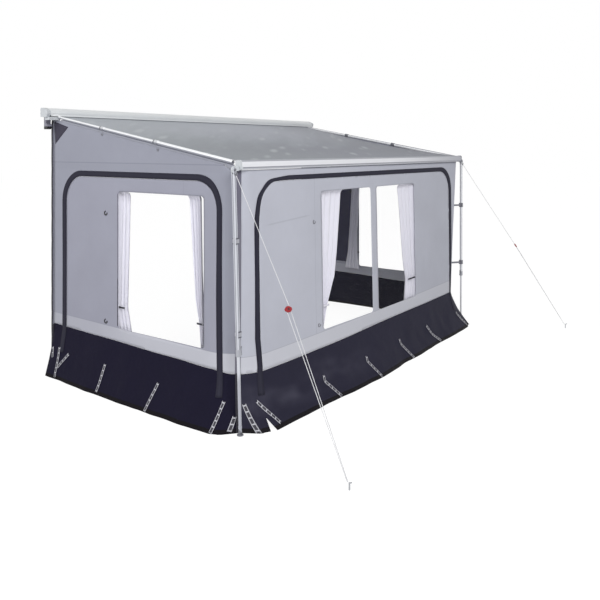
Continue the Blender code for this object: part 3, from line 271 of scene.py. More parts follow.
def pale_strip(base, slope, seam=None, fading=True):
    """The paler strip just above the skirt, with a stitched line along its top, which climbs a little."""

    def paint(finish, colour, place):
        along, height, _ = finish.apart(place)
        # painted shade: on the side walls the strip is painted less pale away from the front corner
        amount = 0.85 - (along.step(0.1, 0.3) * 0.13 + along.step(1.0, 1.9) * 0.34) * float(fading)
        if seam:  # a panel is sewn from two widths
            colour = stitched(finish, colour, along - seam, 0.3)
        above = height - (along * slope + base)
        colour = finish.mix((1 - above.step(-0.003, 0.003)) * amount, colour, tone(197, 198, 206))
        return stitched(finish, colour, above, 0.4)

    return paint


def wall_top(finish, colour, place):
    """Pale strip below, and a slightly darker strip where the top band is sewn on."""
    height = finish.apart(place)[1]
    seam = 1 - (height - 2.11).size().step(0.002, 0.006)
    shade = (height - 2.08).size().step(0.025, 0.04)
    colour = finish.mix((1 - shade) * 0.25, colour, tone(140, 142, 154))
    colour = finish.mix(seam * 0.45, colour, tone(112, 114, 126))
    return pale_strip(0.588, 0.010)(finish, colour, place)


def hem_shadow(finish, colour, place):
    """The skirt is darkened almost to black along its lowest few centimetres."""
    return finish.mix(1 - finish.apart(place)[1].step(0.030, 0.036), colour, tone(22, 20, 24))


def front_skirt_painted_sheen(finish, colour, place):
    """Painted highlight: near the corner a soft pale sheen is painted on the front skirt, half way up, where light
    falls on the flaring cloth.
    """
    along, height, _ = finish.apart(place)
    sheen = finish.mottle(finish.stretched(place, (1.0, 2.2, 1.0)), 2.0, 2.0).step(0.36, 0.76)
    sheen = sheen * height.step(0.05, 0.16) * (1 - height.step(0.20, 0.38)) * (1 - along.step(0.9, 2.2))
    return hem_shadow(finish, finish.mix(sheen * 0.36, colour, tone(96, 95, 110)), place)


def pad_edge(finish, colour, place):
    """The seal is grey towards the room, and dark where it meets the vehicle and below the seam."""
    _, y, z = finish.apart(finish.place())
    dark = y.maths("MAXIMUM", y.step(1.337, 1.341), 1 - z.step(SEAM + 0.030, SEAM + 0.036))
    return finish.mix(dark, colour, tone(34, 33, 42))


def keder_line(finish, colour, place):
    """The strip that hangs in the rafter's channel is darker along its top, just under the rafter."""
    return finish.mix(1 - finish.apart(place)[1].step(0.007, 0.009), colour, tone(116, 118, 130))


def ladder_pattern(finish, colour, place):
    """Two rails and rungs of pale webbing, with the dark skirt showing between."""
    along, across, _ = finish.apart(place)
    rails = (across - 0.0130).size().step(0.0078, 0.0090)
    rungs = (along * (math.tau / 0.044)).sine().step(0.72, 0.88)
    return finish.mix(rails.maths("MAXIMUM", rails, rungs), tone(44, 42, 52), colour)


def front_panel(finish, colour, place):
    """The front has a strip of its own height, and painted shade along a fold line pressed in while it was packed away.
    """
    along, height, _ = finish.apart(place)
    # painted shade in the fold line
    fold = 1 - (height - (along * 0.063 + 1.587)).size().step(0.002, 0.010)
    fold = fold * along.step(0.30, 0.42) * (1 - along.step(0.86, 0.98))
    colour = finish.mix(fold * 0.22, colour, tone(120, 122, 134))
    return pale_strip(0.553, 0.015, 1.02, fading=False)(finish, colour, place)


def tape_below(finish, colour, place):
    """The corner's tape is dark by the rail, paler lower down, and as dark as the skirt below the seam."""
    height = finish.apart(place)[0]
    colour = finish.mix(1 - height.step(1.50, 1.80), colour, tone(108, 107, 119))
    return finish.mix(1 - height.step(0.425, 0.435), colour, tone(32, 30, 41))


WALL = cloth_finish("wall_cloth", "wall_fabric", tone(147, 149, 162), extra=wall_top)
FRONT = cloth_finish("front_cloth", "wall_fabric", tone(182, 184, 195), extra=front_panel)
PANEL = cloth_finish("panel_cloth", "wall_fabric", tone(151, 152, 166), extra=pale_strip(0.588, 0.010, 0.62))
SKIRT = cloth_finish(
    "skirt_cloth", "skirt_fabric", tone(39, 38, 53), rough=0.6, uneven=0.14, relief=0.15, extra=front_skirt_painted_sheen,
    folds=(3.2, 0.6, 0.02, 1.2), Specular_IOR_Level=0.08,
)
# Painted shade: one skirt cloth in two tones, the side skirts painted darker than the front one.
SIDE_SKIRT_SHADED = cloth_finish(
    "side_skirt_cloth", "skirt_fabric", tone(26, 24, 41), rough=0.6, uneven=0.16, relief=0.15, extra=hem_shadow,
    folds=(3.2, 0.6, 0.03, 1.2), Specular_IOR_Level=0.05,
)
PIPING = cloth_finish("dark_piping", "band_fabric", tone(34, 33, 42), 0.0015, 0.55, 0.1, 0.1, Specular_IOR_Level=0.3)
PAD = cloth_finish("pad_cloth", "band_fabric", tone(116, 117, 130), 0.002, 0.75, 0.1, 0.2, pad_edge)
CORNER = cloth_finish("corner_tape", "band_fabric", tone(98, 96, 111), 0.002, 0.75, 0.12, 0.2, tape_below)
GUSSET = cloth_finish("gusset_cloth", "band_fabric", tone(48, 45, 61), 0.002, 0.75, 0.12, 0.2)
KEDER = cloth_finish("keder_cloth", "wall_fabric", tone(150, 152, 163), 0.002, 0.75, 0.06, 0.15, keder_line)
LADDER = cloth_finish("ladder_strap", "band_fabric", tone(186, 186, 193), 0.0015, 0.65, 0.06, 0.2, ladder_pattern)
CURTAIN = cloth_finish("curtain_cloth", "curtain_cloth", tone(227, 226, 236), 0.0015, 0.9, 0.05, 0.1)
print("cloth finishes made, the wall's weave repeats every 3 mm")

# %% [markdown]
# ## Finishes of the zip flap and the roof
# A zip runs under each dark flap. The flap is stitched down on both edges and a little paler along its
# middle, where it bends over the zip's teeth. Its UV map runs along and across the strip. The roof sheet is
# cloth too, with painted shade towards the front and the right, and soft pale blotches, stretched cells drawn
# askew, that are partly painted highlights on the glancing sheet and partly uneven coating.

# %% Zip flap and roof
def zip_middle(finish, colour, place):
    """Paler over the teeth, with a row of stitches near each edge."""
    across = finish.apart(place)[1]
    middle = 1 - across.size().step(0.006, 0.020)
    stitches = 1 - (across.size() - 0.021).size().step(0.0006, 0.0014)
    colour = finish.mix(middle * 0.35, colour, tone(56, 56, 68))
    return finish.mix(stitches * 0.3, colour, tone(70, 71, 83))


def roof_shade_and_highlights(finish, colour, place):
    """Painted shade and highlights: darker towards the front, darker and a little lilac towards the right, greenish on
    the left, and soft pale blotches that are partly painted highlights and partly uneven coating.
    """
    turned = finish.node("Mapping", None, {"Vector": place, "Rotation": (0, 0, math.radians(-38))})
    drawn = finish.stretched(turned, (1.6, 7.5, 1.0))
    cells = finish.node("TexVoronoi", {"feature": "F1"}, {"Vector": drawn, "Scale": 1.0, "Randomness": 0.8})
    pale_spots_and_highlights = (1 - cells.step(0.10, 0.42)) * finish.mottle(drawn, 0.6, 1.0).step(0.42, 0.58)
    cloud = finish.mottle(drawn, 0.5, 3.0).step(0.35, 0.68)
    across, back, _ = finish.apart(place)
    green = 1 - (across + finish.mottle(place, 1.3, 2.0) * 1.5).step(-0.9, 1.0)
    # painted shade towards the front and towards the right
    forward = 1 - (back + cloud * 0.25).step(-0.45, 1.25)
    colour = finish.mix(forward * 0.92, colour, tone(121, 124, 134))
    colour = finish.mix(across.step(0.5, 2.0) * 0.45, colour, tone(122, 123, 132))
    colour = finish.mix(green * 0.18, colour, tone(140, 150, 142))
    return finish.mix(pale_spots_and_highlights * 0.5, colour, tone(190, 195, 198))


ZIP_FLAP = cloth_finish(
    "zip_flap_cloth", "band_fabric", tone(40, 39, 51), 0.002, 0.65, 0.15, 0.15, zip_middle, Specular_IOR_Level=0.1,
)
ROOF = cloth_finish("roof_cloth", "roof_fabric", tone(176, 180, 189), rough=0.6, uneven=0.06, extra=roof_shade_and_highlights)
print("zip flap and roof finishes made")

# %% [markdown]
# ## Clear film and fly screen
# The windows are soft clear film, a little wavy, so reflections break up. The fly screen is black gauze: dark
# threads with see-through gaps too fine to draw, so the gaps become part of its alpha.

# %% Film and screen
FILM = Finish("window_film", "window_film")
film_place = FILM.place("UV")
film_wave = FILM.mottle(film_place, 3.0, 2.0)
film_haze = FILM.mottle(film_place, 9.0, 3.0)
FILM.set(
    Base_Color=(0.55, 0.57, 0.60, 1.0), Roughness=film_haze * 0.08 + 0.03, Alpha=film_haze * 0.01 + 0.005,
    Normal=FILM.bump(film_wave, 0.3, 0.02),
)
SCREEN = cloth_finish(
    "fly_screen_gauze", "band_fabric", tone(63, 61, 82), 0.0016, 0.8, 0.2, 0.3, Specular_IOR_Level=0.1,
)
screen_threads = weave(SCREEN, SCREEN.place("UV"), 0.0032)
SCREEN.set(Alpha=screen_threads.size() * 0.05 + 0.945)
print("film lets most light through")

# %% [markdown]
# ## Metal and plastic finishes
# Extruded aluminium shows fine lines along its length, powder coat a very fine orange peel, and moulded
# plastic a faint grain. Each reads the object's own coordinates, so the lines run along the right axis.

# %% Hard finishes
def between(shade, low, high):
    """A shade, darkened and lightened a little."""
    return tuple(v * low for v in shade), tuple(min(1, v * high) for v in shade)


def hard_finish(name, slot, shade, rough, grain=900.0, lines=None, relief=0.08, **constants):
    """Plastic, rubber or coated metal. lines stretches the grain along an axis, as on an extrusion."""
    finish = Finish(name, slot)
    place = finish.place()
    grainy = finish.mottle(finish.stretched(place, lines) if lines else place, grain, 2.0)
    worn = finish.mottle(place, 6.0, 4.0)
    colour = finish.mix(worn * 0.8 + grainy * 0.2, *between(shade, 0.93, 1.05))
    normal = finish.bump(grainy, relief, 0.0005)
    finish.set(Base_Color=colour, Roughness=worn * 0.12 + (rough - 0.05), Normal=normal, **constants)
    return finish


HOUSING_COAT = hard_finish("housing_coat", "white_aluminium", tone(225, 228, 230), 0.34, 500.0, (0.02, 1, 1))
PALE_PLASTIC = hard_finish("pale_plastic", "pale_plastic", tone(196, 200, 204), 0.42)
GREY_PLASTIC = hard_finish("grey_plastic", "grey_plastic", tone(120, 121, 128), 0.45)
RUBBER = hard_finish("black_rubber", "grey_plastic", tone(28, 28, 30), 0.6)
STEEL = hard_finish("galvanised_steel", "peg_steel", tone(178, 180, 184), 0.35, 300.0, Metallic=0.9)
print("hard finishes made")

# %% Legs, rail and rafters
LEG_TOP, LEG_RUN = (2.165, FRONT_Y, 2.077), 2.047  # the knuckle's pin, and its height over the foot's
FOOT_SHIFT = {"left": (0.038, -0.034), "right": (-0.008, 0.0)}  # how far each leg leans off the plumb line
# Painted light: the legs are one aluminium, painted brighter on the right leg and duller on the left.
LEG_LIT_AND_SHADED_TONES = {"left": (tone(194, 197, 205), tone(217, 219, 226)), "right": (tone(226, 228, 233), tone(244, 245, 248))}


def leg_finish(side):
    """Bright tube with painted shade in a groove down each face, the left leg painted duller than the right, and a grey
    clamp at its lower end.
    """
    finish = Finish(f"{side}_leg_aluminium", "anodised_aluminium")
    place = finish.place()
    x, y, height = finish.apart(place)
    drop = (LEG_TOP[2] - height) * (1 / LEG_RUN)
    across = x - (drop * FOOT_SHIFT[side][0] + SIGN[side] * LEG_TOP[0])
    back = y - (drop * FOOT_SHIFT[side][1] + LEG_TOP[1])
    groove = 1 - across.maths("MINIMUM", across.size(), back.size()).step(0.0038, 0.0048)
    groove = groove * height.step(0.660, 0.662)
    lines = finish.mottle(finish.stretched(place, (1, 1, 0.01)), 900.0, 2.0)
    worn = finish.mottle(place, 5.0, 4.0)
    colour = finish.mix(worn * 0.7 + lines * 0.3, *LEG_LIT_AND_SHADED_TONES[side])
    colour = finish.mix(groove * (0.9 if side == "left" else 0.3), colour, tone(132, 133, 145))
    if side == "left":  # the dark skirt behind it dulls its lower end
        # painted shade: the left leg's lower end is painted darker
        colour = finish.mix((1 - height.step(0.42, 0.50)) * 0.55, colour, tone(144, 145, 157))
    clamp = height.step(0.617, 0.619) - height.step(0.671, 0.673)
    colour = finish.mix(clamp, colour, tone(168, 170, 178))
    normal = finish.bump(lines, 0.1, 0.0004)
    finish.set(Base_Color=colour, Roughness=worn * 0.1 + 0.28, Metallic=0.25 - clamp * 0.25, Normal=normal)
    return finish


def banded_finish(name, slot, shade, bands, rough=0.45, axis=2, fade=None):
    """Plastic or metal whose colour changes along one axis: bands are (from, to, colour), fade goes along X."""
    finish = Finish(name, slot)
    place = finish.place()
    along = finish.apart(place)[axis]
    grainy, worn = finish.mottle(place, 900.0, 2.0), finish.mottle(place, 6.0, 4.0)
    colour = finish.mix(worn * 0.8 + grainy * 0.2, *between(shade, 0.94, 1.04))
    for low, high, other in bands:
        within = along.step(low - 0.0005, low + 0.0005) - along.step(high - 0.0005, high + 0.0005)
        colour = finish.mix(within, colour, other)
    if fade:
        colour = finish.mix(finish.apart(place)[0].step(*fade[:2]) * 0.8, colour, fade[2])
    finish.set(Base_Color=colour, Roughness=worn * 0.1 + (rough - 0.05), Normal=finish.bump(grainy, 0.08, 0.0005))
    return finish


def rafter_finish(name, joint=None):
    """Bright tube with painted shade on the left rafter's underside and the right rafter's top, and a dark collar at
    its far end, where the next tube slides in.
    """
    finish = Finish(name, "anodised_aluminium")
    place = finish.place()
    along = finish.apart(place)[1]
    lines = finish.mottle(finish.stretched(place, (1, 0.01, 1)), 900.0, 2.0)
    worn = finish.mottle(place, 5.0, 4.0)
    colour = finish.mix(worn * 0.7 + lines * 0.3, tone(224, 226, 230), tone(246, 247, 248))
    normal = finish.bump(lines, 0.1, 0.0004)
    middle = along * RAFTER_SLOPE + (RAIL_HEIGHT + RAFTER_RISE - FRONT_Y * RAFTER_SLOPE)
    height = finish.apart(place)[2] - middle
    right = finish.apart(place)[0].step(-0.1, 0.1)
    # painted shade: the lower half on the left, the top on the right
    colour = finish.mix((1 - height.step(0.000, 0.002)) * (1 - right), colour, tone(150, 152, 162))
    colour = finish.mix(height.step(0.009, 0.010) * right * 0.9, colour, tone(126, 128, 137))
    if joint:
        collar = FRONT_Y + joint
        dark = along.step(collar - 0.047, collar - 0.045) * (right * 0.55 + 0.35)
        dark = dark + along.step(collar - 0.010, collar - 0.008) * (0.6 - right * 0.3)
        colour = finish.mix(dark, colour, tone(84, 86, 96))
    finish.set(Base_Color=colour, Roughness=worn * 0.1 + 0.25, Metallic=0.15, Normal=normal)
    return finish


# Painted shade: darker bands along the rail's underside, in a line below its middle and along its top, and a fade to
# grey towards its right end.
RAIL = banded_finish(
    "rail_aluminium", "anodised_aluminium", tone(226, 227, 232),
    [(2.060, 2.087, tone(202, 204, 211)), (2.087, 2.097, tone(140, 142, 151)), (2.139, 2.160, tone(150, 152, 161))],
    0.36, fade=(0.2, 2.3, tone(158, 160, 170)),
)
# Painted shade: the right rail cap is painted grey, darker at its outer end, where the left one keeps the pale plastic.
RIGHT_CAP_SHADED = banded_finish(
    "right_rail_cap", "pale_plastic", tone(138, 140, 148), [(2.150, 2.200, tone(96, 98, 106))], 0.42, axis=0,
)


def runner_finish(side):
    """Red plate, dark round its middle, where its hole is."""
    finish = Finish(f"{side}_runner", "runner_red")
    place = finish.place()
    low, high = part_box(f"{side}_guy_runner")
    middle = (low + high) / 2
    parts = [part - value for part, value in zip(finish.apart(place), middle)]
    away = (parts[0] * parts[0] + parts[1] * parts[1] + parts[2] * parts[2]) ** 0.5
    worn = finish.mottle(place, 300.0, 2.0)
    colour = finish.mix((1 - away.step(0.009, 0.014)) * 0.85, tone(150, 16, 26), tone(36, 18, 22))
    finish.set(Base_Color=colour, Roughness=worn * 0.1 + 0.3, Normal=finish.bump(worn, 0.1, 0.0005))
    return finish


BRACKET = banded_finish("bracket", "grey_plastic", tone(128, 127, 140), [(2.40, 2.462, tone(24, 24, 28))])
RAFTERS = {
    "front": rafter_finish("rafter_front", RAFTER_JOINTS[0]),
    "middle": rafter_finish("rafter_middle", RAFTER_JOINTS[1]),
    "rear": rafter_finish("rafter_rear"),
}
print("leg and rafter finishes made")

# %% [markdown]
# ## Finishes for the solids that stay
# Each solid whose shape is right keeps it and takes its finish from the list here. The left clips show their
# dark rubber rings against the pale wall, so those get bands where the rings sit.

# %% Assign to the solids
def dress(node, finish):
    nodes[node].data.materials.clear()
    nodes[node].data.materials.append(finish.material)


dress("roof_housing", HOUSING_COAT)
dress("roof_roller", ROOF)
dress("lead_rail", RAIL)
for side in SIGN:
    LEG = leg_finish(side)
    for clip in ("upper", "lower"):
        low, high = (corner.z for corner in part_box(f"{side}_{clip}_leg_clip"))
        rings = [(low - 0.001, low + 0.009, tone(84, 84, 94)), (high - 0.009, high + 0.001, tone(84, 84, 94))]
        # painted shade: the right clips are painted darker than the left ones
        body = tone(164, 165, 173) if side == "left" else tone(124, 124, 133)
        CLIP = banded_finish(f"{side}_{clip}_clip", "grey_plastic", body, rings if side == "left" else [])
        dress(f"{side}_{clip}_leg_clip", CLIP)
    for name, finish in {
        "housing_cap": PALE_PLASTIC, "wall_bracket": BRACKET, "rail_cap": PALE_PLASTIC, "leg_upper_tube": LEG,
        "leg_lower_tube": LEG, "clamp_lever": GREY_PLASTIC, "foot": GREY_PLASTIC, "guy_runner": runner_finish(side),
        "guy_peg": STEEL,
    }.items():
        dress(f"{side}_{name}", finish)
    for name, finish in RAFTERS.items():
        dress(f"{side}_rafter_{name}_tube", finish)
dress("right_rail_cap", RIGHT_CAP_SHADED)
print("solids dressed")

# %% [markdown]
# ## Guy lines
# Each line is a white braided rope from a hook on the leg's knuckle to a peg, pulled tight by a red runner:
# one strand above the runner, two below it. A rope is a curve with a round bevel. The second strand has to
# shorten when the runner slides down; here it is only turned into a mesh of its own.

# %% Ropes
ROPE = 0.0025  # half its thickness
PEG_SPOT = {"left": (0.245, -1.18), "right": (0.617, -1.13)}  # out from the rafter, and forward from the rail
RUNNER_SHARE = {"left": 0.49, "right": 0.52}  # of the way down
STRAND_APART = 0.036  # between the two strands at the runner
BRAID = Finish("braided_rope", "cord_white")
braid_place = BRAID.place()
braid_bump = BRAID.node(
    "TexWave", {"bands_direction": "DIAGONAL"}, {"Vector": braid_place, "Scale": 160.0, "Distortion": 1.0},
)
braid_dirt = BRAID.mottle(braid_place, 30.0, 3.0)
BRAID.set(
    Base_Color=BRAID.mix(braid_bump * 0.5 + braid_dirt * 0.3, tone(226, 226, 228), tone(196, 197, 201)), Roughness=0.85,
    Normal=BRAID.bump(braid_bump, 0.4, 0.0006),
)


def rope_curve(name, points):
    """A round rope through points that lie on one line or a smooth curve."""
    curve = bpy.data.curves.new(name, "CURVE")
    curve.dimensions, curve.bevel_depth, curve.bevel_resolution, curve.use_fill_caps = "3D", ROPE, 3, True
    spline = curve.splines.new("POLY")
    spline.points.add(len(points) - 1)
    for point, spot in zip(spline.points, points):
        point.co = (*spot, 1.0)
    curve.materials.append(BRAID.material)
    rope = bpy.data.objects.new(name, curve)
    bpy.context.scene.collection.objects.link(rope)
    return rope


def select_only(obj):
    """Operators act on all that is selected, so everything else is let go first."""
    bpy.ops.object.select_all(action="DESELECT")
    obj.select_set(True)
    bpy.context.view_layer.objects.active = obj


def as_mesh(obj):
    """Turns a curve or an object with modifiers into a plain mesh."""
    select_only(obj)
    bpy.ops.object.convert(target="MESH")
    return obj


for side, sign in SIGN.items():
    eye = Vector((sign * (HALF + 0.001), FRONT_Y - 0.046, RAIL_HEIGHT - 0.022))
    out, forward = PEG_SPOT[side]
    peg = Vector((sign * (HALF + out), FRONT_Y + forward, 0.040))
    run = (peg - eye).normalized()
    across = run.cross(Vector((0, 0, 1))).normalized()
    middle = eye + run * ((peg - eye).length * RUNNER_SHARE[side])
    first = Vector((sign * LEG_TOP[0], FRONT_Y - 0.028, 2.030))
    turn, last = middle - run * 0.012, peg - run * 0.010
    points = [first.lerp(turn, step / 12) for step in range(12)] + [turn.lerp(last, step / 12) for step in range(13)]
    rope = rope_curve(f"{side}_guy_rope", points)
    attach(rope, "frame")
    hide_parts(f"{side}_guy_line")
    length = (turn - first).length + (last - turn).length
    top, foot = middle + across * STRAND_APART + run * 0.023, last + across * 0.006
    points = [top.lerp(foot, step / 16) for step in range(17)]
    strand = as_mesh(rope_curve(f"{side}_guy_loop", points))
    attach(strand, "frame")
    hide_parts(f"{side}_guy_return")
    length = (foot - top).length
    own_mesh(strand)
    print(side, "second strand", round(length, 3), "m")

# %% [markdown]
# ## The shape that walls and skirt share
# The room is one skin: walls stand straight down from the rafters, the front bellies a little, the two front
# corners are rounded, and below the seam the skirt flares out to the hem. Two functions give its outer face:
# one for a side, counted from the front corner, and one for the front, counted from the left corner.

# %% Skin
def clamp(value):
    return min(1.0, max(0.0, value))


def smooth_between(stations, at):
    """The value at a place along a list of (place, value), eased between neighbours."""
    for (low, first), (high, second) in zip(stations, stations[1:]):
        if at <= high:
            share = max(0.0, (at - low) / (high - low))
            return first + (second - first) * share * share * (3 - 2 * share)
    return stations[-1][1]


def side_seam(distance):
    return SEAM + smooth_between(SIDE_SEAM, distance)


def front_seam(station):
    return SEAM + smooth_between(FRONT_SEAM, station)


def corner_radius(z):
    return SEAM_CORNER + (RAIL_CORNER - SEAM_CORNER) * clamp((z - SEAM) / (FRONT_TOP - SEAM))


def corner_start(z):
    return corner_radius(z) * (1 - math.sqrt(0.5))


def spaced_out(station, start):
    """Columns near a corner are squeezed, so that they start at its zip and not inside it."""
    return station if station >= CORNER_REACH else start + (CORNER_REACH - start) * station / CORNER_REACH


def wall_place(station, z):
    """How far in and along a wall's point lies, with the corner's rounding."""
    distance, radius = spaced_out(station, corner_start(z) + CORNER_ZIP), corner_radius(z)
    inset = 0.0 if distance >= radius else radius - math.sqrt(radius**2 - (radius - distance) ** 2)
    return inset, distance


def skirt_place(inset, distance, station, flare, z, tip=False):
    """Moves a place at the seam out towards the hem, whose right front end is drawn out to a tip."""
    start = HEM_CORNER + CORNER_ZIP
    at = spaced_out(station, start)
    out = HEM_CORNER - (flare + HEM_CORNER) * min(1.0, (at - start) / 0.10)
    if tip:
        pull = max(0.0, 1 - station / CORNER_REACH) ** 1.5
        out, at = out + (-HEM_TIP[1] - out) * pull, at + (-HEM_TIP[0] - at) * pull
    share = clamp((SEAM - z) / SEAM) ** 1.35
    return inset + (out - inset) * share, distance + (at - distance) * share


def side_skin(side, station, z):
    inset, distance = wall_place(station, max(z, SEAM))
    if z < SEAM:
        inset, distance = skirt_place(inset, distance, station, smooth_between(SIDE_HEM, station), z)
    return Vector((SIGN[side] * (HALF - inset), FRONT_Y + distance, z))


def front_skin(station, z):
    near, height = min(station, SPAN - station), max(z, SEAM)
    inset, distance = wall_place(near, height)
    edge = corner_start(height) + CORNER_ZIP
    across = (HALF - distance) / (HALF - edge)
    inset -= BULGE * max(0.0, 1 - across**2) * (1 - (height - SEAM) / (FRONT_TOP - SEAM))
    if z < SEAM:
        inset, distance = skirt_place(inset, distance, near, smooth_between(FRONT_HEM, station), z, station > HALF)
    return Vector(((distance if station <= HALF else SPAN - distance) - HALF, FRONT_Y + inset, z))


def rafter_line(distance):
    return RAIL_HEIGHT + RAFTER_RISE + RAFTER_SLOPE * distance


def side_top(distance, bend=0.15):
    """A side wall's top follows its rafter, and bends down to the front wall's top near the corner."""
    if distance >= bend:
        return min(rafter_line(distance) - WALL_DROP, HOUSING_BASE - HOUSING_CLEAR)
    return FRONT_TOP + (rafter_line(bend) - WALL_DROP - FRONT_TOP) * (distance / bend) ** 2


print("left corner at the seam:", tuple(round(v, 3) for v in side_skin("left", 0.0, SEAM)))

# %% [markdown]
# ## Creases
# Cloth under tension shows long shallow creases, and the loose skirt shows deeper, shorter ones. They come
# from noise that depends only on the place on the skin, so neighbouring pieces stay face to face. They die
# out at the corners, along the top, and at the rear edge, where the cloth is held.

# %% Creases
SEEDS = {"left": 3.1, "right": 17.7, "front": 41.3}


def crease(key, station, z):
    """How far the cloth stands out of the smooth skin there."""
    seed = SEEDS[key]
    width = SPAN if key == "front" else REAR_EDGE + 0.08
    top = FRONT_TOP if key == "front" else side_top(station)
    held = clamp(min(station, width - station) / 0.16)
    held = held * held * (3 - 2 * held) * clamp((top - z) / 0.10)
    wall = 0.0045 * noise.noise(Vector((station * 1.5, z * 0.9, seed)))
    wall += 0.0016 * noise.noise(Vector((station * 4.2 + z * 1.5, z * 1.6, seed + 5)))
    loose = 0.012 * noise.noise(Vector((station * 2.6, z * 3.0, seed + 9)))
    loose += 0.0055 * noise.noise(Vector((station * 6.5 + z * 2.0, z * 6.0, seed + 12)))
    share = clamp((SEAM - z) / 0.16)
    return held * (wall + (loose - wall) * share * share * (3 - 2 * share))


def skin_frame(key, station, z):
    """Place on the creased skin, and its level outward direction."""
    point = front_skin if key == "front" else (lambda s, h: side_skin(key, s, h))
    here = point(station, z)
    run = point(station + 0.004, z) - point(station - 0.004 if station > 0.004 else station, z)
    outward = Vector((run.y, -run.x, 0.0)) if key == "front" or key == "right" else Vector((-run.y, run.x, 0.0))
    outward.normalize()
    return here + outward * crease(key, station, z), outward


def on_skin(key, station, z, lift=0.0):
    here, outward = skin_frame(key, station, z)
    return here + outward * lift


print("outward at the front:", tuple(round(v, 2) for v in skin_frame("front", 2.0, 1.2)[1]))

# %% [markdown]
# ## Cutting cloth
# A sheet is cut flat, as a sailmaker would: an outline with holes in metres, filled with small triangles,
# then laid on the skin. Its UV map is that flat outline, in metres.

# %% Cutting helpers
def lengths_along(line):
    """How far along a line each of its points lies."""
    return np.concatenate([[0.0], np.cumsum(np.linalg.norm(np.diff(line, axis=0), axis=1))])


def evenly(line, count):
    """A line with count even steps along its length."""
    line = np.array(line)
    along = lengths_along(line)
    places = np.linspace(0.0, along[-1], count + 1)
    return np.stack([np.interp(places, along, line[:, axis]) for axis in (0, 1)], axis=1)


def flowing(points, steps=8):
    """A smooth line through given points: each stretch is a cubic that also heeds the points before and after."""
    line, ends = [], [points[0], *points, points[-1]]
    for a, b, c, d in zip(ends, ends[1:], ends[2:], ends[3:]):
        for step in range(steps):
            t = step / steps
            line.append(tuple(
                ((2 * q) + (r - p) * t + (2 * p - 5 * q + 4 * r - s) * t * t + (3 * q - p - 3 * r + s) * t**3) / 2
                for p, q, r, s in zip(a, b, c, d)
            ))
    return line + [tuple(points[-1])]


def arch(low, high, foot, top, radius, lean=(0.0, 0.0), corner=None, steps=18):
    """Outline of a panel with rounded top corners. Its legs may lean, and its low corner may be cut its own way."""
    points = [(low + lean[0], foot), (high + lean[1], foot), (high + lean[1], max(SEAM, foot))]
    for step in range(steps + 1):
        angle = math.pi / 2 * step / steps
        points.append((high - radius + radius * math.cos(angle), top - radius + radius * math.sin(angle)))
    if corner:
        points += [tuple(place) for place in evenly(flowing([(low + x, top - z) for x, z in corner]), 5 * steps)]
    for step in range(0 if corner else steps + 1):
        angle = math.pi / 2 * (1 + step / steps)
        points.append((low + radius + radius * math.cos(angle), top - radius + radius * math.sin(angle)))
    return points + [(low + lean[0], max(SEAM, foot))]


def inner_arch(band, foot, shy=0.0):
    """The arch inside a zip flap; a panel is a little smaller, by shy."""
    (low, high), legs, top, crown, _, lean, corner = band
    low, high, own = low + legs[0] + shy, high - legs[1] - shy, corner and INNER_CORNER
    return arch(low, high, foot, top - crown - shy, BAND_RADIUS - crown - shy, lean, own)


def rounded(low, high, foot, top, radius=WINDOW_ROUND, steps=6):
    """Outline of a window with four rounded corners."""
    points = []
    for x, z, start in ((high, top, 0), (low, top, 90), (low, foot, 180), (high, foot, 270)):
        middle = (x - radius if x == high else x + radius, z - radius if z == top else z + radius)
        for step in range(steps + 1):
            angle = math.radians(start + 90 * step / steps)
            points.append((middle[0] + radius * math.cos(angle), middle[1] + radius * math.sin(angle)))
    return points


def resample(loop, step, closed=True):
    """Points along a line, no further apart than step."""
    result = []
    for (x0, z0), (x1, z1) in zip(loop, loop[1:] + loop[:1] if closed else loop[1:]):
        count = max(1, math.ceil(math.hypot(x1 - x0, z1 - z0) / step))
        result += [(x0 + (x1 - x0) * i / count, z0 + (z1 - z0) * i / count) for i in range(count)]
    return result if closed else result + [loop[-1]]


def inside(loop, points):
    """Which points lie inside a closed line."""
    ring = np.array(loop)
    x, y = points[:, 0], points[:, 1]
    found = np.zeros(len(points), bool)
    for (x0, y0), (x1, y1) in zip(ring, np.roll(ring, -1, axis=0)):
        if y0 != y1:
            found ^= ((y0 > y) != (y1 > y)) & (x < (x1 - x0) * (y - y0) / (y1 - y0) + x0)
    return found


def on_sheet(loops, points):
    """Which points lie in the outline and in none of its holes."""
    found = inside(loops[0], points)
    for hole in loops[1:]:
        found &= ~inside(hole, points)
    return found


def off_edges(points, ring, least):
    """Drops lattice points too near a line's own points."""
    gaps = np.array([np.min(np.sum((ring - point) ** 2, axis=1)) for point in points])
    return points[gaps > least**2]


def cut_cloth(outline, holes, step):
    """Flat points and triangles of a sheet with holes."""
    loops = [resample(loop, step) for loop in (outline, *holes)]
    edges, flat = [], []
    for loop in loops:
        base = len(flat)
        edges += [(base + i, base + (i + 1) % len(loop)) for i in range(len(loop))]
        flat += loop
    ring = np.array(flat)
    low, high = ring.min(axis=0), ring.max(axis=0)
    grid = np.stack(np.meshgrid(*(np.arange(low[i] + step / 2, high[i], step) for i in (0, 1))), -1).reshape(-1, 2)
    grid = off_edges(grid[on_sheet(loops, grid)], ring, step * 0.55)
    everything = [Vector(point) for point in (*flat, *grid.tolist())]
    points, _, faces, *_ = delaunay_2d_cdt(everything, edges, [], 0, 1e-7)
    points = np.array([tuple(p) for p in points])
    faces = np.array([tuple(face) for face in faces])
    return points, faces[on_sheet(loops, points[faces].mean(axis=1))]


test_points, test_faces = cut_cloth(rounded(0, 1, 0, 1, 0.1), [], 0.1)
print("a test cut has", len(test_points), "points and", len(test_faces), "triangles")

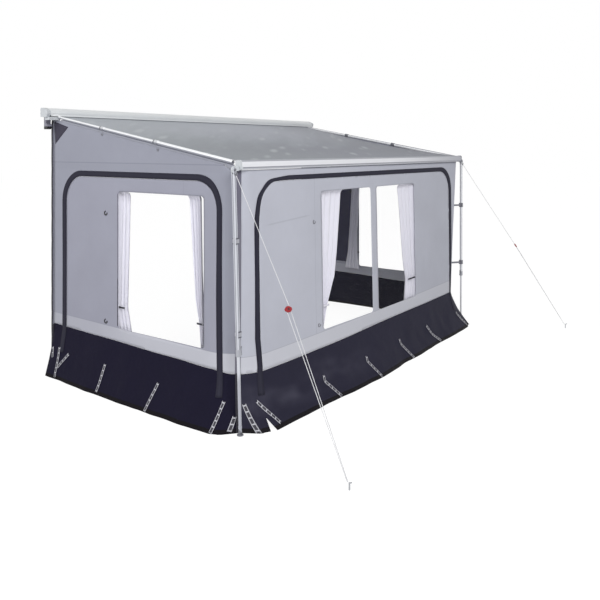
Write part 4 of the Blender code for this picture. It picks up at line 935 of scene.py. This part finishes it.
# %% [markdown]
# ## From flat cut to hung cloth
# The flat points are laid on the skin and the sheet gets its real thickness from a Solidify modifier, which
# is applied. Cloth doesn't stretch, so the hung sheet's area is also that of its cut, and a skirt that flares
# is cut longer than it stands tall. A simulation would fold the cloth by itself, but these sheets are held
# tight on rails and zips at places that are known, and a formula gives the same result each time.

# %% Hanging helpers
def mesh_of(name, points, faces, uvs, finish):
    """An object from points and faces, with its finish and a UV map in metres."""
    mesh = bpy.data.meshes.new(name)
    mesh.from_pydata([tuple(p) for p in points], [], [tuple(int(i) for i in f) for f in faces])
    layer = mesh.uv_layers.new(name="UVMap")
    corners = np.empty(len(mesh.loops), np.int32)
    mesh.loops.foreach_get("vertex_index", corners)
    layer.data.foreach_set("uv", np.asarray(uvs, np.float32)[corners].reshape(-1))
    mesh.materials.append(finish.material)
    mesh.polygons.foreach_set("use_smooth", [True] * len(mesh.polygons))
    piece = bpy.data.objects.new(name, mesh)
    bpy.context.scene.collection.objects.link(piece)
    return piece


def thicken(piece, thickness, offset=-1.0):
    """Gives a sheet its thickness, inwards from the face it was made on."""
    modifier = piece.modifiers.new("thickness", "SOLIDIFY")
    modifier.thickness, modifier.offset, modifier.use_even_offset = thickness, offset, False
    select_only(piece)
    bpy.ops.object.modifier_apply(modifier="thickness")
    return piece


def face_area(points, faces):
    """The area of triangles."""
    a, b, c = np.moveaxis(np.asarray(points)[np.asarray(faces)], 1, 0)
    return float(np.linalg.norm(np.cross(b - a, c - a), axis=1).sum() / 2)


def grid_faces(rows, columns, turned=False, across=False):
    """Four-sided faces over rows of points. turned and across each make them face the other way."""
    wide = columns + 1
    starts = [row * wide + column for row in range(rows) for column in range(columns)]
    if across:
        faces = [(a, a + wide, a + wide + 1, a + 1) for a in starts]
    else:
        faces = [(a, a + 1, a + wide + 1, a + wide) for a in starts]
    return [face[::-1] for face in faces] if turned else faces


def grid_area(points, faces):
    """The area of four-sided faces, each taken as two triangles."""
    return face_area(points, [face[:3] for face in faces]) + face_area(points, [(f[0], f[2], f[3]) for f in faces])


SHEETS, TRIM = [], {}  # what is noted of each sheet, and the trim sewn to each sheet


def hang(name, key, outline, holes, finish, body, node, thickness=0.0014, lift=0.0, step=0.022, held="stretched"):
    """Cuts a sheet, lays it on the skin, notes its size, and lets it ride."""
    flat, faces = cut_cloth(outline, holes, step)
    points = [tuple(on_skin(key, x, z, lift)) for x, z in flat]
    turned = faces[:, ::-1] if key == "left" else faces
    area = face_area(points, faces)
    piece = thicken(mesh_of(name, points, turned, flat, finish), thickness)
    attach(piece, body)
    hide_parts(node)
    slant = math.sqrt(area / face_area([(x, z, 0.0) for x, z in flat], faces))
    width, length = (float(v) * slant for v in np.ptp(np.array(outline), axis=0))
    if area < 0.31 * width * length:  # a wall round a doorway is sewn from strips: whole length, mean width
        length = width + 2 * length
        width = area / length
    SHEETS.append((piece, (width, length), held, ["lead_rail"], round(area, 4)))
    print(name, len(piece.data.polygons), "faces,", round(area, 3), "square metres")
    return piece


print("hanging helpers ready")

# %% [markdown]
# ## Walls, panels and skirts
# Each wall is a frame of cloth round a doorway. The panel that zips into the doorway is a sheet of its own,
# with window openings cut into it. The skirt is sewn on below, from one corner to the other, and the front one
# has a slit in its hem by the left corner, so that it can spread over uneven ground.

# %% Walls
def along_seam(seam, low, high, lift, step=0.05):
    """Points along the sewn edge from low to high."""
    count = max(1, math.ceil(abs(high - low) / step))
    return [(low + (high - low) * i / count, seam(low + (high - low) * i / count) + lift) for i in range(count + 1)]


def doorway_wall(band, seam, end, tops):
    """Outline of a wall round its doorway, open at the seam."""
    door = inner_arch(band, 0.0)[2:]
    left, right = door[-1][0], door[0][0]
    legs = [point for point in door if point[1] > DOOR_FOOT]
    return along_seam(seam, 0.0, left, GAP) + legs[::-1] + along_seam(seam, right, end, GAP) + tops


def panel_outline(band, seam):
    """Outline of the panel that zips into that doorway."""
    first, second, *door = inner_arch(band, 0.0, PANEL_GAP)
    return along_seam(seam, first[0], second[0], GAP) + [point for point in door if point[1] > DOOR_FOOT]


tops = [(REAR_EDGE - REAR_EDGE * i / 60, side_top(REAR_EDGE - REAR_EDGE * i / 60)) for i in range(61)]
for side in SIGN:
    wall_edge = doorway_wall(SIDE_BAND, side_seam, REAR_EDGE, tops)
    hang(f"{side}_wall_cloth", side, wall_edge, [], WALL, "frame", f"{side}_side_wall")
    windows = [rounded(*WINDOWS[side])] + ([rounded(*SIDE_SCREEN)] if side == "right" else [])
    panel_edge = panel_outline(SIDE_BAND, side_seam)
    hang(f"{side}_panel_cloth", side, panel_edge, windows, PANEL, f"{side}_flap", f"{side}_panel")
    hem = [(0.0, HEM_FOOT), (REAR_EDGE, HEM_FOOT)] + along_seam(side_seam, REAR_EDGE, 0.0, -GAP)
    hang(f"{side}_skirt_cloth", side, hem, [], SIDE_SKIRT_SHADED, "frame", f"{side}_skirt", held="hung")

wall_edge = doorway_wall(FRONT_BAND, front_seam, SPAN, [(SPAN, FRONT_TOP), (0.0, FRONT_TOP)])
hang("front_wall_cloth", "front", wall_edge, [], FRONT, "frame", "front_wall")
low, high, foot, top = FRONT_WINDOW
panes = [rounded(low, MULLION[0], foot, top), rounded(MULLION[1], high, foot, top)]
hang("front_panel_cloth", "front", panel_outline(FRONT_BAND, front_seam), panes, FRONT, "front_flap", "front_panel")
slit = [(0.176, HEM_FOOT), (0.171, 0.097), (0.228, HEM_FOOT)]
hem = [(0.0, HEM_FOOT), *slit, (SPAN, HEM_FOOT)] + along_seam(front_seam, SPAN, 0.0, -GAP)
hang("front_skirt_cloth", "front", hem, [], SKIRT, "frame", "front_skirt", held="hung")

# %% [markdown]
# ## Windows
# The film is welded behind its opening with a narrow lap all round, so it is a slightly larger sheet, 2 mm
# inside the panel. The front's is one sheet behind both panes.

# %% Window film and fly screen
def pane(name, key, window, finish, node, lap=0.012):
    """A thin sheet behind a window, larger than it by a lap all round."""
    low, high, foot, top = window
    outline = rounded(low - lap, high + lap, foot - lap, top + lap, WINDOW_ROUND + lap)
    return hang(name, key, outline, [], finish, f"{key}_flap", node, thickness=0.0006, lift=-0.0020, step=0.05)


for side in SIGN:
    pane(f"{side}_window_film", side, WINDOWS[side], FILM, f"{side}_window_pane")
pane("right_fly_gauze", "right", SIDE_SCREEN, SCREEN, "right_fly_screen")
pane("front_window_film", "front", FRONT_WINDOW, FILM, "front_window_pane")

# %% [markdown]
# ## Strips
# Zip flaps, binding, ties and straps are all strips that follow a line on the skin. One helper walks along
# the line, sets points across it, and gives the strip a UV map along and across. The zip flaps change their
# width as they go, so they get a helper of their own.

# %% Strip helper
def strip(name, key, line, width, lift, finish, body, thickness=0.0010, columns=4):
    """A strip of cloth centred on a line of (station, height), held off the skin by lift."""
    path = np.array(resample(line, 0.02, closed=False))
    run = np.gradient(path, axis=0)
    run /= np.linalg.norm(run, axis=1)[:, None]
    beside = np.stack([-run[:, 1], run[:, 0]], axis=1)
    points, uvs = [], []
    for spot, side_way, distance in zip(path, beside, lengths_along(path)):
        for column in range(columns + 1):
            share = column / columns
            x, z = spot + side_way * width * (share - 0.5)
            points.append(tuple(on_skin(key, x, max(z, HEM_FOOT), lift)))
            uvs.append((distance, share * width))
    faces = grid_faces(len(path) - 1, columns, turned=key == "left", across=True)
    piece = thicken(mesh_of(name, points, faces, uvs, finish), thickness)
    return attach(piece, body)


print("strip helper ready")

# %% Zip flaps
def zip_cover(key, band):
    """A strip between the outer and the inner arch, raised where it bends over the zip's teeth."""
    (low, high), _, top, _, lean, _, corner = band
    outer = arch(low, high, BAND_FOOT, top, BAND_RADIUS, lean, corner and OUTER_CORNER)
    counts = [8, 96, 130 if key == "front" else 70, 96, 8]  # steps along foot, leg, crown, leg and foot
    rims = []
    for edge in (outer, inner_arch(band, BAND_FOOT)):
        edge, rim = edge[1:] + edge[:1], []
        for part, count in zip([edge[:2], edge[1:21], edge[20:22], edge[21:-1], edge[-2:]], counts):
            rim += list(evenly(part, count))[1 if rim else 0:]
        rims.append(np.array(rim))
    first, second = rims
    along, columns = lengths_along((first + second) / 2), 8
    points, uvs = [], []
    for a, b, distance in zip(first, second, along):
        for column in range(columns + 1):
            share = column / columns
            x, z = a + (b - a) * share
            if x < 1:  # below the seam the near leg runs down towards the corner
                x -= FOOT_DRIFT[key] * max(0.0, SEAM - z) / (SEAM - BAND_FOOT)
            points.append(tuple(on_skin(key, x, z, 0.0016 + 0.0034 * (1 - (2 * share - 1) ** 2))))
            uvs.append((distance, (share - 0.5) * float(np.linalg.norm(b - a))))
    faces = grid_faces(len(first) - 1, columns, turned=key == "left")
    flap = thicken(mesh_of(f"{key}_zip_cover", points, faces, uvs, ZIP_FLAP), 0.0010)
    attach(flap, "frame")
    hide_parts(f"{key}_zip_flap")
    length = float(along[-1])
    SHEETS.append((flap, (grid_area(points, faces) / length, length), "stretched", [f"{key}_wall_cloth"], None))
    return length


for key, band in (("left", SIDE_BAND), ("right", SIDE_BAND), ("front", FRONT_BAND)):
    print(key, "zip flap", round(zip_cover(key, band), 2), "m long")

# %% [markdown]
# ## Roof sheet
# The roof hangs between the lead rail and the roller, stretched but not flat: it dips a little between the
# rafters and has shallow ripples.

# %% Roof
def roof_sheet():
    front, rear = FRONT_Y + 0.029, VEHICLE_Y - 0.004 - 0.072  # where it leaves the rail, and the roller
    start, end, half = RAIL_HEIGHT + 0.032, HOUSING_BASE + 0.012, HALF - 0.024
    rows, columns = 90, 150
    points, uvs = [], []
    for row in range(rows + 1):
        share = row / rows
        for column in range(columns + 1):
            across = column / columns
            edge = 1 - (2 * across - 1) ** 2
            x = -half + 2 * half * across
            sag = math.sin(math.pi * share) * (0.040 + 0.010 * edge)
            ripple = 0.0030 * noise.noise(Vector((x * 2.1, share * 1.6, 60.0))) * math.sin(math.pi * share)
            y = front + (rear - front) * share
            points.append((x, y, start + (end - start) * share - sag + ripple))
            uvs.append((x, y))
    sheet = thicken(mesh_of("roof_cloth", points, grid_faces(rows, columns), uvs, ROOF), 0.0016)
    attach(sheet, "frame")
    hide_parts("roof_sheet")
    return sheet


print("roof faces", len(roof_sheet().data.polygons))

# %% [markdown]
# ## Curtains
# Thin pale cloth hangs in folds behind the windows and is gathered by a tie at hip height. The folds are
# waves across the cloth, deeper where the tie draws it together, with small uneven waves on top.

# %% Curtains
CURTAIN_FOOT, TIE_HEIGHT, CURTAIN_SEWN, CURTAIN_TOP = 0.56, 0.79, 1.862, 1.875  # it lies flat above its sewn line
CURTAIN_NEAR, CURTAIN_OFF = 0.009, 0.052  # behind the skin, where it is sewn and where it hangs free
# Where each curtain's two edges hang, from its foot up: (height, low edge, high edge)
CURTAINS = {
    "left_rear": ((0.56, 1.345, 1.512), (0.79, 1.404, 1.532), (1.30, 1.383, 1.541), (1.875, 1.362, 1.538)),
    "left_front": ((0.56, 0.410, 0.452), (0.79, 0.409, 0.476), (0.98, 0.419, 0.522), (1.875, 0.441, 0.605)),
    "right_rear": ((0.56, 1.458, 1.720), (0.79, 1.490, 1.673), (1.09, 1.494, 1.641), (1.875, 1.450, 1.588)),
    "right_front": ((0.56, 0.405, 0.460), (0.79, 0.405, 0.480), (0.98, 0.415, 0.522), (1.875, 0.440, 0.605)),
    "front_left": (
        (0.56, 1.10, 1.165), (0.79, 1.10, 1.245), (1.04, 1.09, 1.382), (1.27, 1.08, 1.431), (1.875, 1.08, 1.536),
    ),
    "front_right": (
        (0.56, 2.765, 3.060), (0.79, 2.816, 3.055), (0.96, 2.778, 3.060), (1.39, 2.721, 3.065), (1.875, 2.655, 3.065),
    ),
}


def off_panel(name, key, at, low, high):
    """0 at a curtain's outer edge, which is sewn to the panel, and 1 where the curtain hangs free."""
    if name.startswith(("left_rear", "front_right")):  # lies against the panel from the window's edge on
        edge = (SIDE_WINDOW if key == "left" else FRONT_WINDOW)[1] + 0.02
        return clamp((edge - at) / 0.06)
    return clamp((high - at if "_rear" in name else at - low) / 0.03)


def curtain(name, key, edges, folds, body, node):
    """A sheet in folds between its two edges, which the tie draws together."""
    rows, columns = 60, folds * 14
    heights, lows, highs = zip(*edges)
    widest = max(high - low for low, high in zip(lows, highs))
    points, uvs = [], []
    for row in range(rows + 1):
        z = CURTAIN_FOOT + (CURTAIN_TOP - CURTAIN_FOOT) * row / rows
        low, high = float(np.interp(z, heights, lows)), float(np.interp(z, heights, highs))
        pinch = (high - low) / widest
        depth = 0.011 + 0.010 * (1 - pinch)
        below = clamp((CURTAIN_SEWN - z) / 0.05)
        for column in range(columns + 1):
            share = column / columns
            small = noise.noise(Vector((share * folds * 1.7, z * 1.4, SEEDS[key] + 30)))
            wave = math.sin(math.tau * folds * share + 0.6 * small) + 0.25 * small
            at = low + (high - low) * share
            outer = off_panel(name, key, at, low, high)
            free = min(outer * (2 - outer), below * (2 - below))  # sewn to the panel along its top and outer edge
            behind = CURTAIN_NEAR + (CURTAIN_OFF - CURTAIN_NEAR + depth * wave) * free
            points.append(tuple(on_skin(key, at, z, -behind)))
            uvs.append((share * widest * 1.6, z))
    faces = grid_faces(rows, columns, turned=key == "left")
    grid = np.array(points).reshape(rows + 1, columns + 1, 3)
    area = grid_area(points, faces)
    width, length = (float(np.linalg.norm(np.diff(grid, axis=a), axis=2).sum(axis=a).max()) for a in (1, 0))
    piece = thicken(mesh_of(name, points, faces, uvs, CURTAIN), 0.0010, 0.0)
    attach(piece, body)
    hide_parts(node)
    SHEETS.append((piece, (width, length), "gathered", [], round(area, 3)))
    print(name, "flat width", round(width, 2), "m, area", round(area, 3))
    return piece


for key, edges in CURTAINS.items():
    wall, body = key.split("_")[0], f"{key.split('_')[0]}_flap"
    curtain(f"{key}_drape", wall, edges, 5 if wall == "front" else 4, body, f"{key}_curtain")

# %% [markdown]
# ## Padded strips against the vehicle
# A foam strip in grey and dark cloth seals each side wall against the vehicle. It is stitched through at
# intervals, so it swells between the stitches.

# %% Rear pads
def rear_pad(side):
    lowest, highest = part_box(f"{side}_rear_pad")
    middle, reach = (lowest + highest) / 2, (highest - lowest) / 2
    rows, around = 150, 24
    points, uvs, faces = [], [], []
    for row in range(rows + 1):
        share = row / rows
        z = lowest.z + (highest.z - lowest.z) * share
        swell = 0.90 + 0.10 * abs(math.sin(math.pi * (z - lowest.z) / 0.24))
        end = min(1.0, min(share, 1 - share) * rows / 3)
        swell *= 0.35 + 0.65 * math.sqrt(end)
        for step in range(around):
            angle = math.tau * step / around
            c, s = math.cos(angle), math.sin(angle)
            x = math.copysign(abs(c) ** 0.6, c) * reach.x * swell
            y = math.copysign(abs(s) ** 0.6, s) * reach.y * swell
            points.append((middle.x + x, middle.y + y, z))
            uvs.append((step / around * 0.11, z))
    for row in range(rows):
        for step in range(around):
            a, b = row * around + step, row * around + (step + 1) % around
            faces.append((a, b, b + around, a + around))
    faces += [tuple(range(around))[::-1], tuple(range(rows * around, (rows + 1) * around))]
    pad = mesh_of(f"{side}_seal_pad", points, faces, uvs, PAD)
    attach(pad, "frame")
    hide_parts(f"{side}_rear_pad")
    return pad


for side in SIGN:
    print(rear_pad(side).name, "made")

# %% [markdown]
# ## Corner zips
# Side and front are joined down each front corner by a zip under a tape, which follows the corner from the
# rail to the hem.

# %% Corner tapes
def corner_tape(side):
    rows, columns, width = 90, 6, 0.046
    points, uvs = [], []
    end = 0.0 if side == "left" else SPAN
    for row in range(rows + 1):
        z = 0.002 + (FRONT_TOP - 0.004) * row / rows
        first, second = side_skin(side, 0.0, z), front_skin(end, z)
        across = (second - first).normalized()
        outward = Vector((SIGN[side], -1.0, 0.0)).normalized()
        for column in range(columns + 1):
            share = 2 * column / columns - 1
            lift = 0.0042 - 0.0026 * share**2
            points.append(tuple((first + second) / 2 + across * (width / 2 * share) + outward * lift))
            uvs.append((z, (share + 1) * width / 2))
    faces = grid_faces(rows, columns, turned=side == "right")
    tape = thicken(mesh_of(f"{side}_corner_tape", points, faces, uvs, CORNER), 0.0012)
    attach(tape, "frame")
    return tape


for side in SIGN:
    print(corner_tape(side).name)

# %% [markdown]
# ## Sewn trim
# The details that show how such a room is made: a rope edge under each rafter, dark gussets where wall, rafter
# and seal meet, binding beside a window, ties round the curtains, and ladder straps that peg the hem down.

# %% Trim helpers
def sewn(name, key, line, width, lift, finish, sheet, body="frame", thickness=0.0010):
    """A flat strip sewn or hung on a sheet; it is listed with that sheet."""
    piece = strip(name, key, line, width, lift, finish, body, thickness)
    TRIM.setdefault(sheet, []).append(piece)
    return piece


def patch(name, key, outline, finish, sheet, lift=0.0020):
    """A small flat piece of cloth sewn onto a sheet."""
    flat, faces = cut_cloth(outline, [], 0.02)
    points = [tuple(on_skin(key, x, z, lift)) for x, z in flat]
    piece = thicken(mesh_of(name, points, faces[:, ::-1] if key == "left" else faces, flat, finish), 0.0010)
    TRIM.setdefault(sheet, []).append(piece)
    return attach(piece, "frame")


def rafter_under(distance):
    """Height of the rafter's underside, where the rope edge goes in."""
    radius = RAFTER_RADII[sum(distance >= joint for joint in RAFTER_JOINTS)]
    return rafter_line(distance) - radius * 1.016


ROPE_EDGE = (0.045, 2.345)  # from the front corner back to the housing


def rope_edge(side):
    """The strip between the wall's top and the rafter."""
    columns, rows = 118, 4
    points, uvs = [], []
    for column in range(columns + 1):
        distance = ROPE_EDGE[0] + (ROPE_EDGE[1] - ROPE_EDGE[0]) * column / columns
        top, foot = min(rafter_under(distance), HOUSING_BASE - HOUSING_CLEAR), side_top(distance) - 0.012
        for row in range(rows + 1):
            z = top + (foot - top) * row / rows
            points.append((SIGN[side] * (HALF + 0.0007), FRONT_Y + distance, z))
            uvs.append((distance, top - z))
    faces = grid_faces(columns, rows, turned=side == "right", across=True)
    piece = thicken(mesh_of(f"{side}_rope_edge", points, faces, uvs, KEDER), 0.0010)
    TRIM.setdefault(f"{side}_wall_cloth", []).append(piece)
    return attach(piece, "frame")


for side in SIGN:
    rope_edge(side)
    patch(f"{side}_gusset", side, [(2.452, 2.512), (2.225, 2.452), (2.438, 2.288)], GUSSET, f"{side}_wall_cloth")
    body, rear, foot, top = f"{side}_flap", *WINDOWS[side][1:]
    line = [(rear + 0.007, foot + 0.02), (rear + 0.007, top - 0.02)]
    sewn(f"{side}_binding", side, line, 0.008, 0.0018, CORNER, f"{side}_panel_cloth", body)
for key, edges in CURTAINS.items():
    wall, (_, low, high) = key.split("_")[0], edges[1]
    finish = {"left_rear": PIPING, "front_left": CURTAIN}.get(key, CORNER)
    tie = [(low - 0.006, TIE_HEIGHT), (high + 0.006, TIE_HEIGHT)]
    sewn(f"{key}_tie", wall, tie, 0.016, -0.017, finish, f"{key}_drape", f"{wall}_flap")
print("rope edges, gussets, bindings and ties sewn")

# %% Ladder straps
SIDE_STRAPS = (
    ((2.323, 0.290), (2.297, 0.019)), ((2.159, 0.253), (2.290, 0.110)), ((2.430, 0.276), (2.404, 0.183)),
    ((1.590, 0.263), (1.619, 0.024)), ((0.870, 0.237), (0.935, 0.011)), ((0.098, 0.229), (0.169, 0.009)),
)
FRONT_STRAPS = (
    ((0.032, 0.202), (0.088, 0.006)), ((0.125, 0.217), (0.291, 0.038)),
    ((1.014, 0.215), (1.006, 0.168), (1.156, 0.009)), ((1.721, 0.218), (1.707, 0.176), (1.842, 0.012)),
    ((2.420, 0.227), (2.427, 0.176), (2.592, 0.004)), ((3.091, 0.229), (3.172, 0.121), (3.335, 0.016)),
    ((3.940, 0.219), (4.083, 0.034)),
)
CORNER_STRAP = ((0.020, 0.119), (0.048, 0.019))  # on the left side alone
STRAPS = {"left": (*SIDE_STRAPS, CORNER_STRAP), "right": SIDE_STRAPS, "front": FRONT_STRAPS}
for key, straps in STRAPS.items():
    for number, line in enumerate(straps, 1):
        sewn(f"{key}_ladder_{number}", key, list(line), 0.026, 0.0055, LADDER, f"{key}_skirt_cloth", thickness=0.0014)
print(sum(len(straps) for straps in STRAPS.values()), "ladder straps")

# %% [markdown]
# ## Small fittings
# Hooks and bolts are turned or moulded parts, and the lip along the housing's front is a pressed strip. Each is
# made at the origin with ordinary modelling steps and then set in place.

# %% Fittings
def set_in_place(obj, spot, facing, spin, finish, body):
    """Turns a fitting made at the origin so that its Z axis faces outwards, and moves it."""
    turn = Vector(facing).to_track_quat("Z", "Y").to_matrix().to_4x4()
    obj.matrix_world = Matrix.Translation(spot) @ turn @ Matrix.Rotation(math.radians(spin), 4, "Z")
    select_only(obj)
    bpy.ops.object.transform_apply(location=True, rotation=True, scale=True)
    bpy.ops.object.shade_smooth_by_angle(angle=math.radians(40))
    obj.data.materials.append(finish.material)
    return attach(obj, body)


def open_hook(name, size, gap=80.0):
    """A ring with a gap in it, on a small round base."""
    bpy.ops.object.select_all(action="DESELECT")
    bpy.ops.mesh.primitive_torus_add(
        major_segments=24, minor_segments=8, major_radius=size * 0.38, minor_radius=size * 0.12,
        location=(0, 0, size * 0.16),
    )
    hook = bpy.context.object
    hook.name = name
    bpy.ops.object.mode_set(mode="EDIT")
    bpy.ops.mesh.select_mode(type="VERT")
    mesh = bmesh.from_edit_mesh(hook.data)
    for vertex in mesh.verts:
        vertex.select_set(abs(math.degrees(math.atan2(vertex.co.y, vertex.co.x))) < gap / 2)
    mesh.select_flush_mode()
    bmesh.update_edit_mesh(hook.data)
    bpy.ops.mesh.delete(type="VERT")
    bpy.ops.mesh.select_all(action="SELECT")
    bpy.ops.mesh.fill_holes(sides=0)
    base = (-size * 0.30, 0, size * 0.06)
    bpy.ops.mesh.primitive_cylinder_add(vertices=16, radius=size * 0.30, depth=size * 0.12, location=base)
    bpy.ops.object.mode_set(mode="OBJECT")
    return hook


def select_faces(obj, wanted):
    """Selects the faces of an object in edit mode whose normal passes a test."""
    bpy.ops.mesh.select_mode(type="FACE")
    bpy.ops.mesh.select_all(action="DESELECT")
    mesh = bmesh.from_edit_mesh(obj.data)
    for face in mesh.faces:
        face.select_set(wanted(face.normal))
    bmesh.update_edit_mesh(obj.data)


def bolt_head(name, radius, tall):
    """A round head with a rim and a sunk middle."""
    bpy.ops.object.select_all(action="DESELECT")
    bpy.ops.mesh.primitive_cylinder_add(vertices=24, radius=radius, depth=tall, location=(0, 0, tall / 2))
    head = bpy.context.object
    head.name = name
    bpy.ops.object.mode_set(mode="EDIT")
    select_faces(head, lambda normal: normal.z > 0.9)
    bpy.ops.mesh.inset(thickness=radius * 0.34)
    bpy.ops.transform.translate(value=(0, 0, -tall * 0.5))
    bpy.ops.mesh.inset(thickness=radius * 0.18)
    bpy.ops.transform.translate(value=(0, 0, tall * 0.4))
    bpy.ops.object.mode_set(mode="OBJECT")
    return head


for side, sign in SIGN.items():
    knuckle = Vector((sign * LEG_TOP[0], FRONT_Y - 0.0135, LEG_TOP[2]))
    set_in_place(bolt_head(f"{side}_knuckle_bolt", 0.013, 0.006), knuckle, (0, -1, 0), 0, GREY_PLASTIC, "frame")
    ring = knuckle + Vector((0, -0.0110, -0.030))
    set_in_place(open_hook(f"{side}_guy_hook", 0.030, 20.0), ring, (sign * 0.3, -1, 0), 90, GREY_PLASTIC, "frame")
    for number, (distance, z) in enumerate(((1.70, 2.376), (0.936, 2.236)), 1):
        spot = (sign * (HALF + 0.002), FRONT_Y + distance, z)
        set_in_place(open_hook(f"{side}_rafter_hook_{number}", 0.030), spot, (sign, 0, 0), 90, GREY_PLASTIC, "frame")
    for number, (distance, z) in enumerate(((1.646, 1.644), (1.646, 0.641)), 1):
        spot, facing = on_skin(side, distance, z, 0.001), skin_frame(side, distance, z)[1]
        set_in_place(open_hook(f"{side}_panel_hook_{number}", 0.048), spot, facing, 60, RUBBER, f"{side}_flap")
for number, (station, z) in enumerate(((1.007, 1.580), (1.065, 0.640)), 1):
    spot, facing = on_skin("front", station, z, 0.001), skin_frame("front", station, z)[1]
    set_in_place(open_hook(f"front_panel_hook_{number}", 0.040), spot, facing, 60, GREY_PLASTIC, "front_flap")


def housing_lip():
    """The pressed lip that closes the housing's front down to the roof sheet, with a step along it."""
    bpy.ops.object.select_all(action="DESELECT")
    bpy.ops.mesh.primitive_cube_add(size=1)
    lip = bpy.context.object
    lip.name = "housing_front_lip"
    lip.scale = (2 * (HALF + 0.089), 0.005, 0.019)
    bpy.ops.object.transform_apply(location=False, rotation=False, scale=True)
    bpy.ops.object.mode_set(mode="EDIT")
    select_faces(lip, lambda normal: normal.y < -0.9)
    bpy.ops.mesh.inset(thickness=0.004)
    bpy.ops.transform.translate(value=(0, -0.0025, 0))
    bpy.ops.mesh.select_all(action="SELECT")
    bpy.ops.mesh.bevel(offset=0.0008, segments=2)
    bpy.ops.object.mode_set(mode="OBJECT")
    spot = (0, VEHICLE_Y - 0.1248, HOUSING_BASE + 0.0155)
    return set_in_place(lip, spot, (0, 0, 1), 0, HOUSING_COAT, "frame")


housing_lip()
print("fittings in place")

# %% [markdown]
# ## The sheets noted
# Each sheet has been noted with its flat size, how it is held, and the trim that is sewn to it.

# %% Count the sheets
print(len(SHEETS), "sheets declared,", sum(len(pieces) for pieces in TRIM.values()), "pieces of trim")

# %% [markdown]
# ## Floor and light
# The floor and the world show white to the camera, to reflections and through the film. Light itself is soft:
# a pale world and two large lamps, so that colours come out about as they are written.

# %% Floor
bpy.ops.object.select_all(action="DESELECT")
bpy.ops.mesh.primitive_plane_add(size=80, location=(0, 0, 0))
floor = bpy.context.object
floor.name = "floor"
FLOOR = Finish("floor_white", None)
kinds = FLOOR.node("LightPath").socket.node.outputs
eye, gloss, through = (Wire(FLOOR, kinds[f"Is {kind} Ray"]) for kind in ("Camera", "Glossy", "Transmission"))
floor_seen = eye.maths("MAXIMUM", eye, gloss.maths("MAXIMUM", gloss, through))
floor_white = FLOOR.node("Emission", None, {"Color": (1, 1, 1, 1), "Strength": 1.15})
FLOOR.set(Base_Color=(0.88, 0.88, 0.88, 1), Roughness=0.9)
floor_matt = Wire(FLOOR, FLOOR.shader.outputs[0])
floor_mix = FLOOR.node("MixShader", None, {0: floor_seen * 0.8, 1: floor_matt, 2: floor_white})
FLOOR.links.new(floor_mix.socket, FLOOR.material.node_tree.nodes["Material Output"].inputs[0])
floor.data.materials.append(FLOOR.material)

# %% World and lamps
world = bpy.data.worlds.new("studio")
bpy.context.scene.world = world
world.use_nodes = True
tree = world.node_tree
rays = tree.nodes.new("ShaderNodeLightPath")
seen, more = tree.nodes.new("ShaderNodeMath"), tree.nodes.new("ShaderNodeMath")
seen.operation = more.operation = "MAXIMUM"
tree.links.new(rays.outputs["Is Glossy Ray"], more.inputs[0])
tree.links.new(rays.outputs["Is Transmission Ray"], more.inputs[1])
tree.links.new(rays.outputs["Is Camera Ray"], seen.inputs[0])
tree.links.new(more.outputs[0], seen.inputs[1])
strength = tree.nodes.new("ShaderNodeMix")
strength.inputs[2].default_value = 0.40
strength.inputs[3].default_value = 1.0
tree.links.new(seen.outputs[0], strength.inputs[0])
background = tree.nodes["Background"]
background.inputs["Color"].default_value = (1, 1, 1, 1)
tree.links.new(strength.outputs[0], background.inputs["Strength"])


def lamp(name, spot, target, size, power):
    data = bpy.data.lights.new(name, "AREA")
    data.shape, data.size, data.energy = "DISK", size, power
    light = bpy.data.objects.new(name, data)
    bpy.context.scene.collection.objects.link(light)
    light.location = spot
    light.rotation_euler = (Vector(target) - Vector(spot)).to_track_quat("-Z", "Y").to_euler()
    return light


lamp("key_lamp", (-6.0, -8.7, 7.0), (0, 0, 1.0), 5.0, 640)
lamp("side_lamp", (-9.0, 2.0, 5.0), (0, 0, 1.0), 5.0, 250)
bpy.context.scene.view_settings.view_transform = "Standard"
print("floor, world and lamps placed")
